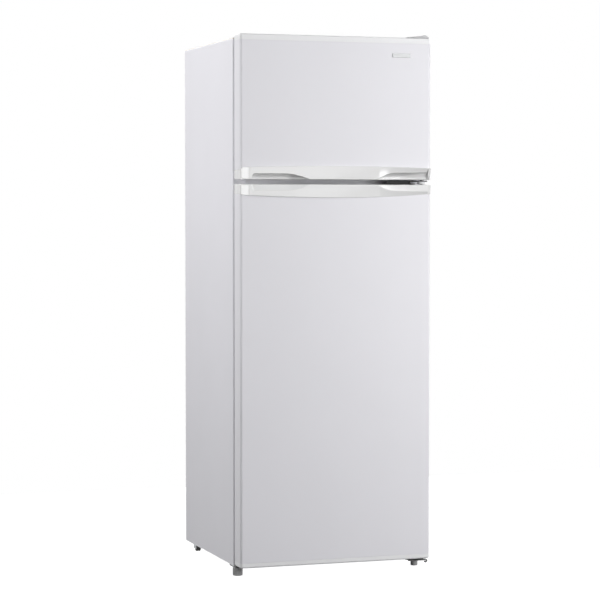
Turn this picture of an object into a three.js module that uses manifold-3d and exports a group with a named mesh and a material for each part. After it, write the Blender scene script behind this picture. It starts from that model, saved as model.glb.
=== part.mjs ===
import * as THREE from 'three';
import { mergeVertices } from 'three/addons/utils/BufferGeometryUtils.js';
import Module from 'manifold-3d';

// Top freezer refrigerator. Millimetres, +Z up. Pieces are drawn with y = 0 on the
// plane of the door fronts and +y running back; the group is then centred on its depth.

const wasm = await Module();
wasm.setup();

// ---- Driving dimensions ----

const WIDTH = 548;
const HALF = WIDTH / 2;
const CABINET = { front: 68, rear: 552, bottom: 28, top: 1460 };
const DOOR_DEPTH = 54;
const FREEZER_DOOR = { bottom: 1077.6, top: 1466 };
const FRIDGE_DOOR = { bottom: 30, top: 1064.6 };
const CAP = { top: 15.6, bottom: 13 };
const EDGE_RADIUS = 7;
const DOOR_HEM = 12;

const SHEET = 1;
const LINER = 1.5;
const GAP = 0.3;
const FLANGE = 34;
const LIP = 7.7;

const CAVITY = { half: 232, rear: 505 };
const FREEZER = { floor: 1106, ceiling: 1412 };
const FRIDGE = { floor: 92, ceiling: 1040, stepFront: 345, stepTop: 254 };
const RAIL = { bottom: 1048, top: 1098, depth: 16 };
const BAY = { front: 385, top: 217 };
const UNDERSIDE = 58;
const BASE = { bottom: 26.3, rear: 112, top: 78, sheet: 1.4 };

const HINGE = { x: 256, y: 26, pin: 4, bore: 4.4, bush: 7 };
const TRIM = { proud: 6, back: 26 };
const FREEZER_TRIM = { end: 32, middle: 36.5, leftPocket: 16, rightPocket: 21 };
const FRIDGE_TRIM = { end: 29, middle: 36, leftPocket: 18, rightPocket: 20 };
const GASKET = { outer: 256, inner: 240, inset: 14, bottom: 66 };
const DYKE = { outer: 210, inner: 199.5, depth: 41, sill: 14, band: 12 };
const BUSH_HEIGHT = 14.5;
const BADGE = { left: 160, right: 213, proud: 1.8, bottom: 1411.5, top: 1422.5 };
const FREEZER_BINS = [{ z: 1126, height: 66 }, { z: 1280, height: 56 }];
const FRIDGE_BINS = [{ z: 118, height: 116 }, { z: 434, height: 72 }, { z: 704, height: 66 }];
const BIN_DEPTH = { freezer: 78, fridge: 92 };

const FOOT = { y: 74, height: 22.7, rim: 1.5, stud: 3.5, top: 54 };
const LEFT_FOOT = { x: -260, radius: 13.7 };
const RIGHT_FOOT = { x: 257, radius: 10 };
const ROLLER = { x: 250, y: 505, radius: 13, width: 12, axle: 3, bore: 3.4 };
const PLATE = { bottom: 23, top: 26, inset: 1, long: 46, flare: 6, ahead: 22, behind: 34 };
const TRAY = { bottom: 26.3, top: 27.8, lip: 54 };
const COIL = { y: 561, radius: 2.5, side: 222, first: 300, pitch: 84, passes: 13, bend: 11 };
const STRAP = { x: 140, half: 5, front: 1, rear: 1.5, overrun: 12 };
const STANDOFF = { half: 4, reach: 6, inset: 20, middle: 500 };
const PIPES = { y: 520, z: 150, hot: 236, cold: -250, drierEnd: -196 };
const DRIER = { left: -178, length: 100, radius: 10, shoulder: 16, neck: 3, stub: 8 };
const FAN = {
  x: 0, y: 462, z: 1352, radius: 44, shaft: 2.5, bore: 2.9, hub: 12, hubHalf: 9,
  motor: 20, arm: { half: 34, deep: 9, rise: 6 },
};
const EVAPORATOR = { half: 190, y: 474, deep: 22, bottom: 1150, top: 1280, fins: 11, pitch: 32 };
const EVAPORATOR_COVER = {
  front: 438, rear: 441, slots: 42, slotHalf: 3.5, slotPitch: 12,
  returns: 9, returnPitch: 40, returnHalf: 14, returnRise: 14, returnTop: 22,
};
const COMPRESSOR = { x: 90, y: 468, radius: 70, bottom: 46, top: 178 };
const MOUNTING = { long: 96, wide: 56, inset: 12, leg: 9, drop: 6, rise: 2 };
const TERMINALS = { reach: 30, half: 22, bottom: 84, top: 132 };
const DRAIN_PAN = { long: 78, wide: 58, wall: 2, clear: 4, depth: 22 };
const SPOUT = { behind: 30, inner: 6, outer: 8, clear: 12 };
const INLET = { x: -218, z: 52, front: 538, half: 18, plate: 11 };

// ---- Materials ----

const finish = (color, roughness, metalness = 0) =>
  new THREE.MeshStandardMaterial({ color, roughness, metalness });
const whitePaint = () => finish(0xeceeef, 0.38);
const whitePlastic = () => finish(0xf3f4f4, 0.3);
const linerPlastic = () => finish(0xf4f6f6, 0.35);
const clearPlastic = () => finish(0xdfeaf0, 0.15);
const darkPlastic = () => finish(0x3b3d40, 0.5);
const blackPaint = () => finish(0x17181a, 0.45, 0.2);
const zincSteel = () => finish(0xb4b7b9, 0.4, 0.9);
const copper = () => finish(0xb87348, 0.35, 0.9);
const aluminium = () => finish(0xc9ccce, 0.4, 0.9);
const greyRubber = () => finish(0xd0d2d3, 0.8);
const blackRubber = () => finish(0x202020, 0.85);
const foam = () => finish(0xe9d9a0, 0.9);
const glass = () => finish(0xcfe3dc, 0.05);

// ---- Shape helpers ----

function box(x0, x1, y0, y1, z0, z1) {
  const geometry = new THREE.BoxGeometry(x1 - x0, y1 - y0, z1 - z0);
  return geometry.translate((x0 + x1) / 2, (y0 + y1) / 2, (z0 + z1) / 2);
}

function outline(points) {
  return new THREE.Shape(points.map(([a, b]) => new THREE.Vector2(a, b)));
}

const extrude = (shape, depth, segments = 5) =>
  new THREE.ExtrudeGeometry(shape, { depth, bevelEnabled: false, curveSegments: segments });

// An x-y outline raised from z0 to z1.
const raise = (shape, z0, z1, segments) => extrude(shape, z1 - z0, segments).translate(0, 0, z0);

// An x-z outline carried back from y0 to y1.
const carryBack = (shape, y0, y1, segments) =>
  extrude(shape, y1 - y0, segments).rotateX(Math.PI / 2).translate(0, y1, 0);

// A y-z outline carried across from x0 to x1.
const across = new THREE.Matrix4().makeBasis(
  new THREE.Vector3(0, 1, 0), new THREE.Vector3(0, 0, 1), new THREE.Vector3(1, 0, 0));
const carryAcross = (shape, x0, x1) =>
  extrude(shape, x1 - x0).applyMatrix4(across).translate(x0, 0, 0);

// Cylinders standing on z0, lying along y from y0, and lying along x from x0.
const standing = (x, y, radius, z0, z1, sides = 24) =>
  new THREE.CylinderGeometry(radius, radius, z1 - z0, sides)
    .rotateX(Math.PI / 2).translate(x, y, (z0 + z1) / 2);
const lyingBack = (x, z, radius, y0, y1, sides = 24) =>
  new THREE.CylinderGeometry(radius, radius, y1 - y0, sides).translate(x, (y0 + y1) / 2, z);
const lyingAcross = (y, z, radius, x0, x1, sides = 24) =>
  new THREE.CylinderGeometry(radius, radius, x1 - x0, sides)
    .rotateZ(Math.PI / 2).translate((x0 + x1) / 2, y, z);

function turned(profile, x, y, sides = 24) {
  const points = profile.map(([r, z]) => new THREE.Vector2(r, z));
  return new THREE.LatheGeometry(points, sides).rotateX(Math.PI / 2).translate(x, y, 0);
}

function solid(geometry) {
  const bare = geometry.clone();
  bare.deleteAttribute('normal');
  bare.deleteAttribute('uv');
  const merged = mergeVertices(bare);
  return new wasm.Manifold(new wasm.Mesh({
    numProp: 3,
    vertProperties: merged.attributes.position.array,
    triVerts: Uint32Array.from(merged.index.array),
  }));
}

function geometryOf(manifold) {
  const mesh = manifold.getMesh();
  const geometry = new THREE.BufferGeometry();
  geometry.setAttribute('position', new THREE.BufferAttribute(mesh.vertProperties, 3));
  geometry.setIndex(new THREE.BufferAttribute(mesh.triVerts, 1));
  geometry.computeVertexNormals();
  return geometry;
}

const join = (...pieces) => geometryOf(pieces.map(solid).reduce((a, b) => a.add(b)));
const cut = (body, ...tools) => geometryOf(tools.map(solid).reduce((a, b) => a.subtract(b), solid(body)));
const common = (a, b) => geometryOf(solid(a).intersect(solid(b)));

// A path whose steps fall on its own points, so that straight runs take one step.
class SteppedPath extends THREE.Curve {
  constructor(points) {
    super();
    this.points = points;
  }

  getPoint(t) {
    const place = t * (this.points.length - 1);
    const index = Math.min(Math.floor(place), this.points.length - 2);
    return this.points[index].clone().lerp(this.points[index + 1], place - index);
  }

  getUtoTmapping(u) {
    return u;
  }

  getTangent(t) {
    const index = Math.round(t * (this.points.length - 1));
    const before = this.points[Math.max(index - 1, 0)];
    const after = this.points[Math.min(index + 1, this.points.length - 1)];
    return after.clone().sub(before).normalize();
  }
}

// A round tube through corner points, each corner bent to the given radius.
function tube(corners, radius, bend, sides = 8, arcSteps = 4) {
  const places = corners.map((corner) => new THREE.Vector3(...corner));
  const points = [places[0]];
  for (let i = 1; i < places.length - 1; i++) {
    const into = places[i].clone().sub(places[i - 1]).normalize();
    const out = places[i + 1].clone().sub(places[i]).normalize();
    const half = into.angleTo(out) / 2;
    const reach = bend * Math.tan(half);
    const start = places[i].clone().addScaledVector(into, -reach);
    const end = places[i].clone().addScaledVector(out, reach);
    const inward = out.clone().sub(into).normalize();
    const centre = places[i].clone().addScaledVector(inward, bend / Math.cos(half));
    for (let step = 0; step <= arcSteps; step++) {
      const spoke = start.clone().lerp(end, step / arcSteps).sub(centre).setLength(bend);
      points.push(centre.clone().add(spoke));
    }
  }
  points.push(places[places.length - 1]);
  const section = new THREE.Shape().absarc(0, 0, radius, 0, 2 * Math.PI);
  return new THREE.ExtrudeGeometry(section, {
    extrudePath: new SteppedPath(points), steps: points.length - 1, curveSegments: sides / 2,
  });
}

// ---- The group ----

const refrigerator = new THREE.Group();

function piece(name, material, geometry) {
  const mesh = new THREE.Mesh(geometry, material);
  mesh.name = name;
  refrigerator.add(mesh);
  return mesh;
}

// ---- Cabinet walls ----

const wrapHalf = HALF - SHEET - GAP;

function outerShell() {
  const { front, rear, bottom, top } = CABINET;
  const returned = 12;
  return cut(
    box(-HALF, HALF, front, rear, bottom, top),
    box(-HALF + SHEET, HALF - SHEET, front + SHEET, rear - SHEET, bottom - 1, top - SHEET),
    box(-HALF + FLANGE, HALF - FLANGE, front - 1, front + 2 * SHEET, bottom - 1, top - FLANGE),
    box(-HALF + returned, HALF - returned, rear - 2 * SHEET, rear + 1, bottom - 1, top - returned));
}

const backPanelFront = CABINET.rear - SHEET - GAP - SHEET;

function undersidePanel() {
  return join(
    box(-wrapHalf, wrapHalf, CABINET.front + 2, BAY.front + SHEET, UNDERSIDE, UNDERSIDE + SHEET),
    box(-wrapHalf, wrapHalf, BAY.front, BAY.front + SHEET, UNDERSIDE, BAY.top + SHEET),
    box(-wrapHalf, wrapHalf, BAY.front, backPanelFront - GAP, BAY.top, BAY.top + SHEET));
}

// The fridge compartment in side view, grown outwards by a margin.
function fridgeProfile(front, margin) {
  const { floor, ceiling, stepFront, stepTop } = FRIDGE;
  return outline([
    [front, floor - margin], [stepFront + margin, floor - margin],
    [stepFront + margin, stepTop - margin], [CAVITY.rear + margin, stepTop - margin],
    [CAVITY.rear + margin, ceiling + margin], [front, ceiling + margin],
  ]);
}

const fridgeSpace = (front, margin) =>
  carryAcross(fridgeProfile(front, margin), -CAVITY.half - margin, CAVITY.half + margin);
const freezerSpace = (front, margin) => box(
  -CAVITY.half - margin, CAVITY.half + margin, front, CAVITY.rear + margin,
  FREEZER.floor - margin, FREEZER.ceiling + margin);

function insulation() {
  const front = CABINET.front + LINER + GAP;
  const rear = backPanelFront - GAP;
  const margin = LINER + GAP;
  return cut(
    box(-wrapHalf, wrapHalf, front, rear, UNDERSIDE + SHEET + GAP, CABINET.top - SHEET - GAP),
    box(-HALF, HALF, BAY.front - GAP, CABINET.rear, 0, BAY.top + SHEET + GAP),
    freezerSpace(0, margin),
    fridgeSpace(0, margin),
    box(-HALF, HALF, 0, CABINET.front + RAIL.depth + GAP, RAIL.bottom - GAP, RAIL.top + GAP));
}

const openingHalf = CAVITY.half + LIP;

function freezerLiner() {
  const front = CABINET.front;
  return cut(
    join(
      freezerSpace(front, LINER),
      box(-openingHalf, openingHalf, front, front + LINER, RAIL.top + GAP,
        CABINET.top - FLANGE - GAP)),
    freezerSpace(0, 0));
}

const SHELF_RAILS = { heights: [262, 506, 756], front: 184, rear: 495, thickness: 7, width: 6 };

function fridgeLiner() {
  const front = CABINET.front;
  const hollow = cut(
    join(
      fridgeSpace(front, LINER),
      box(-openingHalf, openingHalf, front, front + LINER, BASE.top + GAP, RAIL.bottom - GAP)),
    fridgeSpace(0, 0));
  const rails = SHELF_RAILS.heights.flatMap((z) => [-1, 1].map((side) => {
    const middle = side * (CAVITY.half + (1 - SHELF_RAILS.width) / 2);
    const half = (SHELF_RAILS.width + 1) / 2;
    return box(middle - half, middle + half, SHELF_RAILS.front, SHELF_RAILS.rear,
      z - SHELF_RAILS.thickness, z);
  }));
  return join(hollow, ...rails);
}

function centerRail() {
  const { front } = CABINET;
  const { bottom, top, depth } = RAIL;
  return join(
    box(-openingHalf, openingHalf, front, front + SHEET, bottom, top),
    box(-openingHalf, openingHalf, front, front + depth, bottom, bottom + SHEET),
    box(-openingHalf, openingHalf, front, front + depth, top - SHEET, top));
}

piece('outer_shell', whitePaint(), outerShell());
piece('back_panel', zincSteel(), box(-wrapHalf, wrapHalf, backPanelFront,
  backPanelFront + SHEET, BAY.top - 1, CABINET.top - SHEET - GAP));
piece('underside_panel', zincSteel(), undersidePanel());
piece('insulation_foam', foam(), insulation());
piece('freezer_liner', linerPlastic(), freezerLiner());
piece('fridge_liner', linerPlastic(), fridgeLiner());
piece('center_rail', whitePaint(), centerRail());

// ---- Base: front cross member, tray and running gear ----

function baseFrame() {
  const { bottom, rear, top } = BASE;
  const { front } = CABINET;
  return cut(
    join(
      box(-openingHalf, openingHalf, front, front + SHEET, bottom, top),
      box(-wrapHalf, wrapHalf, front, rear, bottom, bottom + BASE.sheet),
      box(-wrapHalf, wrapHalf, rear - SHEET, rear, bottom, UNDERSIDE - GAP)),
    studHole(LEFT_FOOT),
    studHole(RIGHT_FOOT));
}

function studHole(foot) {
  return standing(foot.x, FOOT.y, FOOT.stud + 1, 0, BASE.bottom + 14);
}

function footBracket() {
  const left = -HALF + PLATE.inset;
  const right = -HALF + PLATE.long;
  const front = FOOT.y - PLATE.ahead;
  const rear = FOOT.y + PLATE.behind;
  const plan = outline([[left, front], [right, front], [right + PLATE.flare, rear], [left, rear]]);
  return cut(raise(plan, PLATE.bottom, PLATE.top), studHole(LEFT_FOOT));
}

function levellingFoot(radius) {
  const { height, stud, top, rim } = FOOT;
  return turned([[0, 0], [radius - rim, 0], [radius, rim], [radius, height - rim],
    [radius - rim, height], [stud, height], [stud, top], [0, top]], 0, 0, 32);
}

function compressorTray() {
  const { bottom, top, lip } = TRAY;
  const front = BAY.front + 2;
  const floorSheet = box(-wrapHalf, wrapHalf, front, backPanelFront, bottom, top);
  const frontLip = box(-wrapHalf, wrapHalf, front, front + top - bottom, bottom, lip);
  const ear = { half: 11, bottom: 8, clear: 3 };
  const running = [-1, 1].flatMap((side) => {
    const plate = (x) =>
      box(x - 1, x + 1, ROLLER.y - ear.half, ROLLER.y + ear.half, ear.bottom, top);
    const centre = side * ROLLER.x;
    const reach = ROLLER.width / 2 + ear.clear;
    return [
      plate(centre - reach), plate(centre + reach),
      lyingAcross(ROLLER.y, ROLLER.radius, ROLLER.axle, centre - reach - 2, centre + reach + 2, 20),
    ];
  });
  return join(floorSheet, frontLip, ...running);
}

function roller() {
  const { width, radius, bore } = ROLLER;
  const round = new THREE.Shape().absarc(0, 0, radius, 0, 2 * Math.PI);
  round.holes.push(new THREE.Path().absarc(0, 0, bore, 0, 2 * Math.PI));
  return extrude(round, width, 12).rotateY(Math.PI / 2).translate(-width / 2, 0, 0);
}

piece('base_frame', zincSteel(), baseFrame());
piece('left_foot_bracket', blackPaint(), footBracket());
piece('left_levelling_foot', darkPlastic(), levellingFoot(LEFT_FOOT.radius))
  .position.set(LEFT_FOOT.x, FOOT.y, 0);
piece('right_levelling_foot', darkPlastic(), levellingFoot(RIGHT_FOOT.radius))
  .position.set(RIGHT_FOOT.x, FOOT.y, 0);
piece('compressor_tray', zincSteel(), compressorTray());
piece('left_roller', blackRubber(), roller()).position.set(-ROLLER.x, ROLLER.y, ROLLER.radius);
piece('right_roller', blackRubber(), roller()).position.set(ROLLER.x, ROLLER.y, ROLLER.radius);

// ---- Refrigeration circuit ----

function compressorBody() {
  const { x, y, radius, bottom, top } = COMPRESSOR;
  const can = turned([[0, bottom], [radius - 22, bottom], [radius - 4, bottom + 16],
    [radius, bottom + 30], [radius, top - 42], [radius - 6, top - 18], [radius - 26, top - 4],
    [0, top]], x, y, 28);
  const { long, wide, inset, leg, drop, rise } = MOUNTING;
  const footPlate = box(x - long, x + long, y - wide, y + wide, bottom - drop, bottom + rise);
  const legs = [-1, 1].flatMap((across) => [-1, 1].map((along) => standing(
    x + across * (long - inset), y + along * (wide - inset), leg,
    TRAY.top + GAP, bottom - drop + rise, 16)));
  return join(can, footPlate, ...legs);
}

function drainPan() {
  const { x, y, top } = COMPRESSOR;
  const { long, wide, wall, clear, depth } = DRAIN_PAN;
  const low = top + clear;
  const high = low + depth;
  return cut(
    box(x - long, x + long, y - wide, y + wide, low, high),
    box(x - long + wall, x + long - wall, y - wide + wall, y + wide - wall, low + wall, high + wall));
}

function drainSpout() {
  const { x, y, top } = COMPRESSOR;
  const { behind, inner, outer, clear } = SPOUT;
  const [mouth, root] = [top + clear, BAY.top - GAP];
  return turned([[inner, mouth], [outer, mouth], [outer, root], [inner, root], [inner, mouth]],
    x, y + behind, 16);
}

// Hot pipe from the compressor, up through the zigzag behind the cabinet and down the far side.
function condenserCorners() {
  const { y, side, first, pitch, passes } = COIL;
  const { hot, cold, drierEnd } = PIPES;
  const turn = side - 12;
  const entry = first - 36;
  const last = first + passes * pitch;
  const corners = [[COMPRESSOR.x + 86, PIPES.y, PIPES.z], [hot, PIPES.y, PIPES.z]];
  corners.push([hot, y, PIPES.z], [hot, y, entry], [side, y, entry], [side, y, first], [-turn, y, first]);
  for (let pass = 1; pass < passes; pass++) {
    const z = first + pass * pitch;
    const start = pass % 2 ? -turn : turn;
    corners.push([start, y, z], [-start, y, z]);
  }
  corners.push([-turn, y, last], [cold, y, last], [cold, y, PIPES.z]);
  corners.push([cold, PIPES.y, PIPES.z], [drierEnd, PIPES.y, PIPES.z]);
  return corners;
}

function condenser() {
  const { y, first, pitch, passes } = COIL;
  const last = first + (passes - 1) * pitch;
  const behind = CABINET.rear - SHEET + GAP;
  const { half, front, rear, overrun } = STRAP;
  const levels = [first + STANDOFF.inset, first + STANDOFF.middle, last - STANDOFF.inset];
  const straps = [-STRAP.x, STRAP.x].flatMap((x) => [
    box(x - half, x + half, y - front, y + rear, first - overrun, last + overrun),
    ...levels.map((z) => box(x - STANDOFF.half, x + STANDOFF.half, behind, y,
      z - STANDOFF.reach, z + STANDOFF.reach)),
  ]);
  return join(tube(condenserCorners(), COIL.radius, COIL.bend), ...straps);
}

function filterDrier() {
  const { left, length, radius, shoulder, neck, stub } = DRIER;
  const profile = [[0, 0], [neck, 0], [neck, stub], [radius, shoulder], [radius, length - shoulder],
    [neck, length - stub], [neck, length], [0, length]];
  return turned(profile, 0, 0, 16).rotateY(Math.PI / 2).translate(left, PIPES.y, PIPES.z);
}

function evaporatorCoil() {
  const { half, y, deep, bottom, top, fins, pitch } = EVAPORATOR;
  const plate = (x, thick, grow) => box(
    x - thick / 2, x + thick / 2, y - deep - grow, y + deep + grow, bottom - grow, top + grow);
  const finPlates = Array.from({ length: fins }, (_, i) => plate((i - (fins - 1) / 2) * pitch, 1.2, 0));
  const rods = [bottom + 30, top - 30].map((z) => lyingAcross(y, z, 5, -half, half, 8));
  return join(...rods, ...finPlates, plate(-half, 4, 2), plate(half, 4, 2));
}

function evaporatorCover() {
  const { front, rear, slots, slotHalf, slotPitch } = EVAPORATOR_COVER;
  const { returns, returnPitch, returnHalf, returnRise, returnTop } = EVAPORATOR_COVER;
  const half = CAVITY.half - GAP;
  const { floor, ceiling } = FREEZER;
  const through = [front - 5, rear + 5];
  const plate = box(-half, half, front, rear, floor + GAP, ceiling - GAP);
  const blowing = [-3, -2, -1, 0, 1, 2, 3].map((row) => {
    const offset = row * slotPitch;
    const reach = Math.sqrt(slots ** 2 - offset ** 2);
    return box(-reach, reach, ...through, FAN.z + offset - slotHalf, FAN.z + offset + slotHalf);
  });
  const returning = Array.from({ length: returns }, (_, i) => {
    const x = (i - (returns - 1) / 2) * returnPitch;
    return box(x - returnHalf, x + returnHalf, ...through, floor + returnRise, floor + returnTop);
  });
  return cut(plate, ...blowing, ...returning);
}

function fanMotor() {
  const { x, y, z, shaft, motor, arm } = FAN;
  const rear = CAVITY.rear - GAP;
  return join(
    lyingBack(x, z, motor, y + 16, rear),
    box(x - arm.half, x + arm.half, rear - arm.deep, rear, z - arm.rise, z + arm.rise),
    lyingBack(x, z, shaft, y - 6, y + 18, 12));
}

function fanRotor() {
  const count = 5;
  const [thick, chord, root] = [1.6, 20, 8];
  const blades = Array.from({ length: count }, (_, i) => {
    const blade = new THREE.BoxGeometry(thick, chord, FAN.radius - root)
      .translate(0, 0, (FAN.radius + root) / 2);
    blade.rotateZ(THREE.MathUtils.degToRad(38));
    return blade.rotateY((i * 2 * Math.PI) / count);
  });
  const hub = lyingBack(0, 0, FAN.hub, -FAN.hubHalf, FAN.hubHalf);
  return cut(join(hub, ...blades), lyingBack(0, 0, FAN.bore, -20, 20, 12));
}

piece('compressor', blackPaint(), compressorBody());
piece('terminal_cover', darkPlastic(), box(
  COMPRESSOR.x - COMPRESSOR.radius - TERMINALS.reach, COMPRESSOR.x - COMPRESSOR.radius - GAP,
  COMPRESSOR.y - TERMINALS.half, COMPRESSOR.y + TERMINALS.half, TERMINALS.bottom, TERMINALS.top));
piece('drain_pan', darkPlastic(), drainPan());
piece('drain_spout', whitePlastic(), drainSpout());
piece('condenser_coil', blackPaint(), condenser());
piece('filter_drier', copper(), filterDrier());
piece('evaporator_coil', aluminium(), evaporatorCoil());
piece('evaporator_cover', linerPlastic(), evaporatorCover());
piece('fan_motor', darkPlastic(), fanMotor());
piece('evaporator_fan', whitePlastic(), fanRotor()).position.set(FAN.x, FAN.y, FAN.z);

function mainsInlet() {
  const { x, z, front, half, plate } = INLET;
  return join(
    box(x - half, x + half, front, front + plate, TRAY.top + GAP, z + half),
    lyingBack(x, z, 9, front + 8, front + 18, 20),
    lyingBack(x, z, 6, front + 16, front + 24, 20));
}

piece('mains_inlet', darkPlastic(), mainsInlet());

// ---- Controls and light in the fridge compartment ----

const CONTROL = { half: 110, front: 176, rear: 330, bottom: 990 };
const KNOB = { x: 58, z: 1016, radius: 18, deep: 15, shaft: 3, grip: { half: 3, proud: 7 } };
const LAMP = { left: -96, right: -6, front: 196, rear: 310, depth: 34 };

function controlHousing() {
  const { half, front, rear, bottom } = CONTROL;
  const side = outline([[front + 12, bottom], [rear, bottom], [rear, FRIDGE.ceiling - GAP],
    [front, FRIDGE.ceiling - GAP], [front, bottom + 12]]);
  return cut(
    carryAcross(side, -half, half),
    box(LAMP.left, LAMP.right, LAMP.front, LAMP.rear, bottom - 5, bottom + LAMP.depth),
    lyingBack(KNOB.x, KNOB.z, KNOB.shaft + 0.6, front - 5, front + 18, 16));
}

function thermostatKnob() {
  const { radius, deep, grip: bar } = KNOB;
  const dial = lyingBack(0, 0, radius, -deep, -GAP, 32);
  const grip = box(-bar.half, bar.half, -deep - bar.proud, 1 - deep, 1 - radius, radius - 1);
  const shaft = lyingBack(0, 0, KNOB.shaft, -2, deep - 1, 12);
  return join(dial, grip, shaft);
}

function lampBulb() {
  const profile = [[0, 0], [7, 0], [7, 14], [13, 24], [14, 34], [10, 44], [0, 48]];
  return turned(profile, 0, 0, 16).rotateX(-Math.PI / 2).translate(
    (LAMP.left + LAMP.right) / 2, LAMP.front + GAP, CONTROL.bottom + 18);
}

const SWITCH = { x: 196, z: 1024, front: 78, rear: 112 };

function switchHousing() {
  const { x, z, front, rear } = SWITCH;
  return cut(
    box(x - 14, x + 14, front, rear, z - 12, FRIDGE.ceiling - GAP),
    lyingBack(x, z, 4.4, front - 2, rear - 3, 16));
}

piece('control_housing', whitePlastic(), controlHousing());
piece('thermostat_knob', whitePlastic(), thermostatKnob())
  .position.set(KNOB.x, CONTROL.front, KNOB.z);
piece('lamp_lens', clearPlastic(), box(LAMP.left + GAP, LAMP.right - GAP, LAMP.front + GAP,
  LAMP.rear - GAP, CONTROL.bottom, CONTROL.bottom + 2));
piece('lamp_bulb', glass(), lampBulb());
piece('door_switch_housing', whitePlastic(), switchHousing());
piece('door_switch_plunger', whitePlastic(),
  lyingBack(SWITCH.x, SWITCH.z, 4, DOOR_DEPTH + 1, SWITCH.rear - 5, 16));

// ---- Shelves and drawer ----

const SHELF = { front: 166, rear: 500, half: 230, trim: 14 };
const FREEZER_SHELF = { half: CAVITY.half - 1, front: 150, rear: 434, z: 1252, slats: 11, slat: 12 };

function glassShelf(z) {
  const { front, rear, half, trim } = SHELF;
  return join(
    box(-half, half, front + 4, rear, z + GAP, z + 5),
    box(-half, half, front, front + trim, z + GAP - 4, z + 10));
}

function freezerShelf() {
  const { half, front, rear, z, slats, slat } = FREEZER_SHELF;
  const bars = Array.from({ length: slats }, (_, i) => {
    const y = front + slat + i * ((rear - front - 1.5 * slat) / slats);
    return box(-half + 6, half - 6, y, y + slat, z - 1, z + 5);
  });
  const frame = cut(
    box(-half, half, front, rear, z, z + 4),
    box(-half + 10, half - 10, front + 10, rear - 8, z - 5, z + 9));
  return join(frame, ...bars);
}

const CRISPER = { half: 222, front: 168, rear: 336, bottom: FRIDGE.floor + GAP, top: 246, wall: 2.5 };

function crisperDrawer() {
  const { half, front, rear, bottom, top, wall } = CRISPER;
  const shell = box(-half, half, front, rear, bottom, top);
  const hollow = box(-half + wall, half - wall, front + wall, rear - wall, bottom + wall, top + 5);
  const grip = box(-80, 80, front - 5, front + 1, top - 26, top - 12);
  return join(cut(shell, hollow), grip);
}

piece('upper_glass_shelf', glass(), glassShelf(SHELF_RAILS.heights[2]));
piece('lower_glass_shelf', glass(), glassShelf(SHELF_RAILS.heights[1]));
piece('crisper_cover', glass(), glassShelf(SHELF_RAILS.heights[0]));
piece('freezer_shelf', clearPlastic(), freezerShelf());
piece('crisper_drawer', clearPlastic(), crisperDrawer());

// ---- Hinges ----

const TOP_HINGE = {
  front: 12, step: 78, rear: 114, left: 214, right: HALF - 8, arm: 16, plate: 1467.3, sheet: 2.2,
};
const HINGE_COVER = { left: 208, right: 271, shoulder: 1468.2, crest: [257, 264], top: 1475, wall: 1.6 };
const MID_HINGE = {
  left: 150, right: 262, thickness: 3, flange: 32, washer: 9, pin: 18, shoulder: 18, corner: 40,
  nose: { start: 230, left: 240, right: 268, front: 12 },
};
const BOTTOM_HINGE = {
  left: 210, front: 12, washer: 3, pin: 15, nose: { x: 266, y: 8 },
  corner: { x: 228, y: 16, side: 60 },
};

function topHingeBracket() {
  const { front, step, rear, left, right, arm, plate, sheet } = TOP_HINGE;
  const base = CABINET.top + GAP;
  return join(
    box(left, right, step, rear, base, base + sheet),
    box(HINGE.x - arm, right, step, step + sheet, base, plate + sheet),
    box(HINGE.x - arm, right, front, step + sheet, plate, plate + sheet),
    standing(HINGE.x, HINGE.y, HINGE.pin, plate - 13, plate + 1, 20));
}

// Sloped cover in front view, shrunk by a margin for its hollow.
function coverProfile(base, margin) {
  const { left, right, shoulder, crest, top } = HINGE_COVER;
  return outline([
    [left + margin, base], [right - margin, base], [right - margin, shoulder - margin],
    [crest[1] - margin / 2, top - margin], [crest[0], top - margin], [left + margin, shoulder - margin],
  ]);
}

function topHingeCover() {
  const { front, step, rear } = TOP_HINGE;
  const { wall } = HINGE_COVER;
  const overDoor = FREEZER_DOOR.top + 0.8;
  const overCabinet = CABINET.top + GAP;
  return cut(
    join(
      carryBack(coverProfile(overDoor, 0), front - 6, step),
      carryBack(coverProfile(overCabinet, 0), step - 8, rear + 8)),
    carryBack(coverProfile(overDoor - 5, wall), front - 6 + wall, step),
    carryBack(coverProfile(overCabinet - 5, wall), step - 8 + wall, rear + 8 - wall));
}

function midHingeBracket() {
  const { left, right, thickness, flange, washer, pin, shoulder, corner, nose } = MID_HINGE;
  const middle = (FRIDGE_DOOR.top + FREEZER_DOOR.bottom) / 2;
  const rear = CABINET.front - GAP;
  const edge = HALF - 2;
  const plan = outline([[left, rear], [left, shoulder], [nose.start, shoulder - 2],
    [nose.left, nose.front], [nose.right, nose.front], [edge, shoulder], [edge, corner], [right, rear]]);
  const rod = (radius, half) =>
    standing(HINGE.x, HINGE.y, radius, middle - half, middle + half, 20);
  return join(
    raise(plan, middle - thickness / 2, middle + thickness / 2),
    box(left, right, rear - thickness, rear, middle - flange / 2, middle + flange / 2),
    rod(washer, thickness * 1.5),
    rod(HINGE.pin, pin));
}

function bottomHingeBracket() {
  const { left, front, nose, corner, washer, pin } = BOTTOM_HINGE;
  const edge = HALF - PLATE.inset;
  const rear = FOOT.y + PLATE.behind;
  const plate = outline([[left, front], [nose.x, nose.y], [edge, corner.y], [edge, rear],
    [corner.x, rear], [left, corner.side]]);
  const seat = PLATE.top - 1;
  return join(
    cut(raise(plate, PLATE.bottom, PLATE.top), studHole(RIGHT_FOOT)),
    standing(HINGE.x, HINGE.y, MID_HINGE.washer, seat, PLATE.top + washer, 20),
    standing(HINGE.x, HINGE.y, HINGE.pin, seat, PLATE.top + pin, 20));
}

piece('top_hinge_bracket', zincSteel(), topHingeBracket());
piece('top_hinge_cover', darkPlastic(), topHingeCover());
piece('mid_hinge_bracket', blackPaint(), midHingeBracket());
piece('bottom_hinge_bracket', blackPaint(), bottomHingeBracket());

// ---- Doors ----

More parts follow.
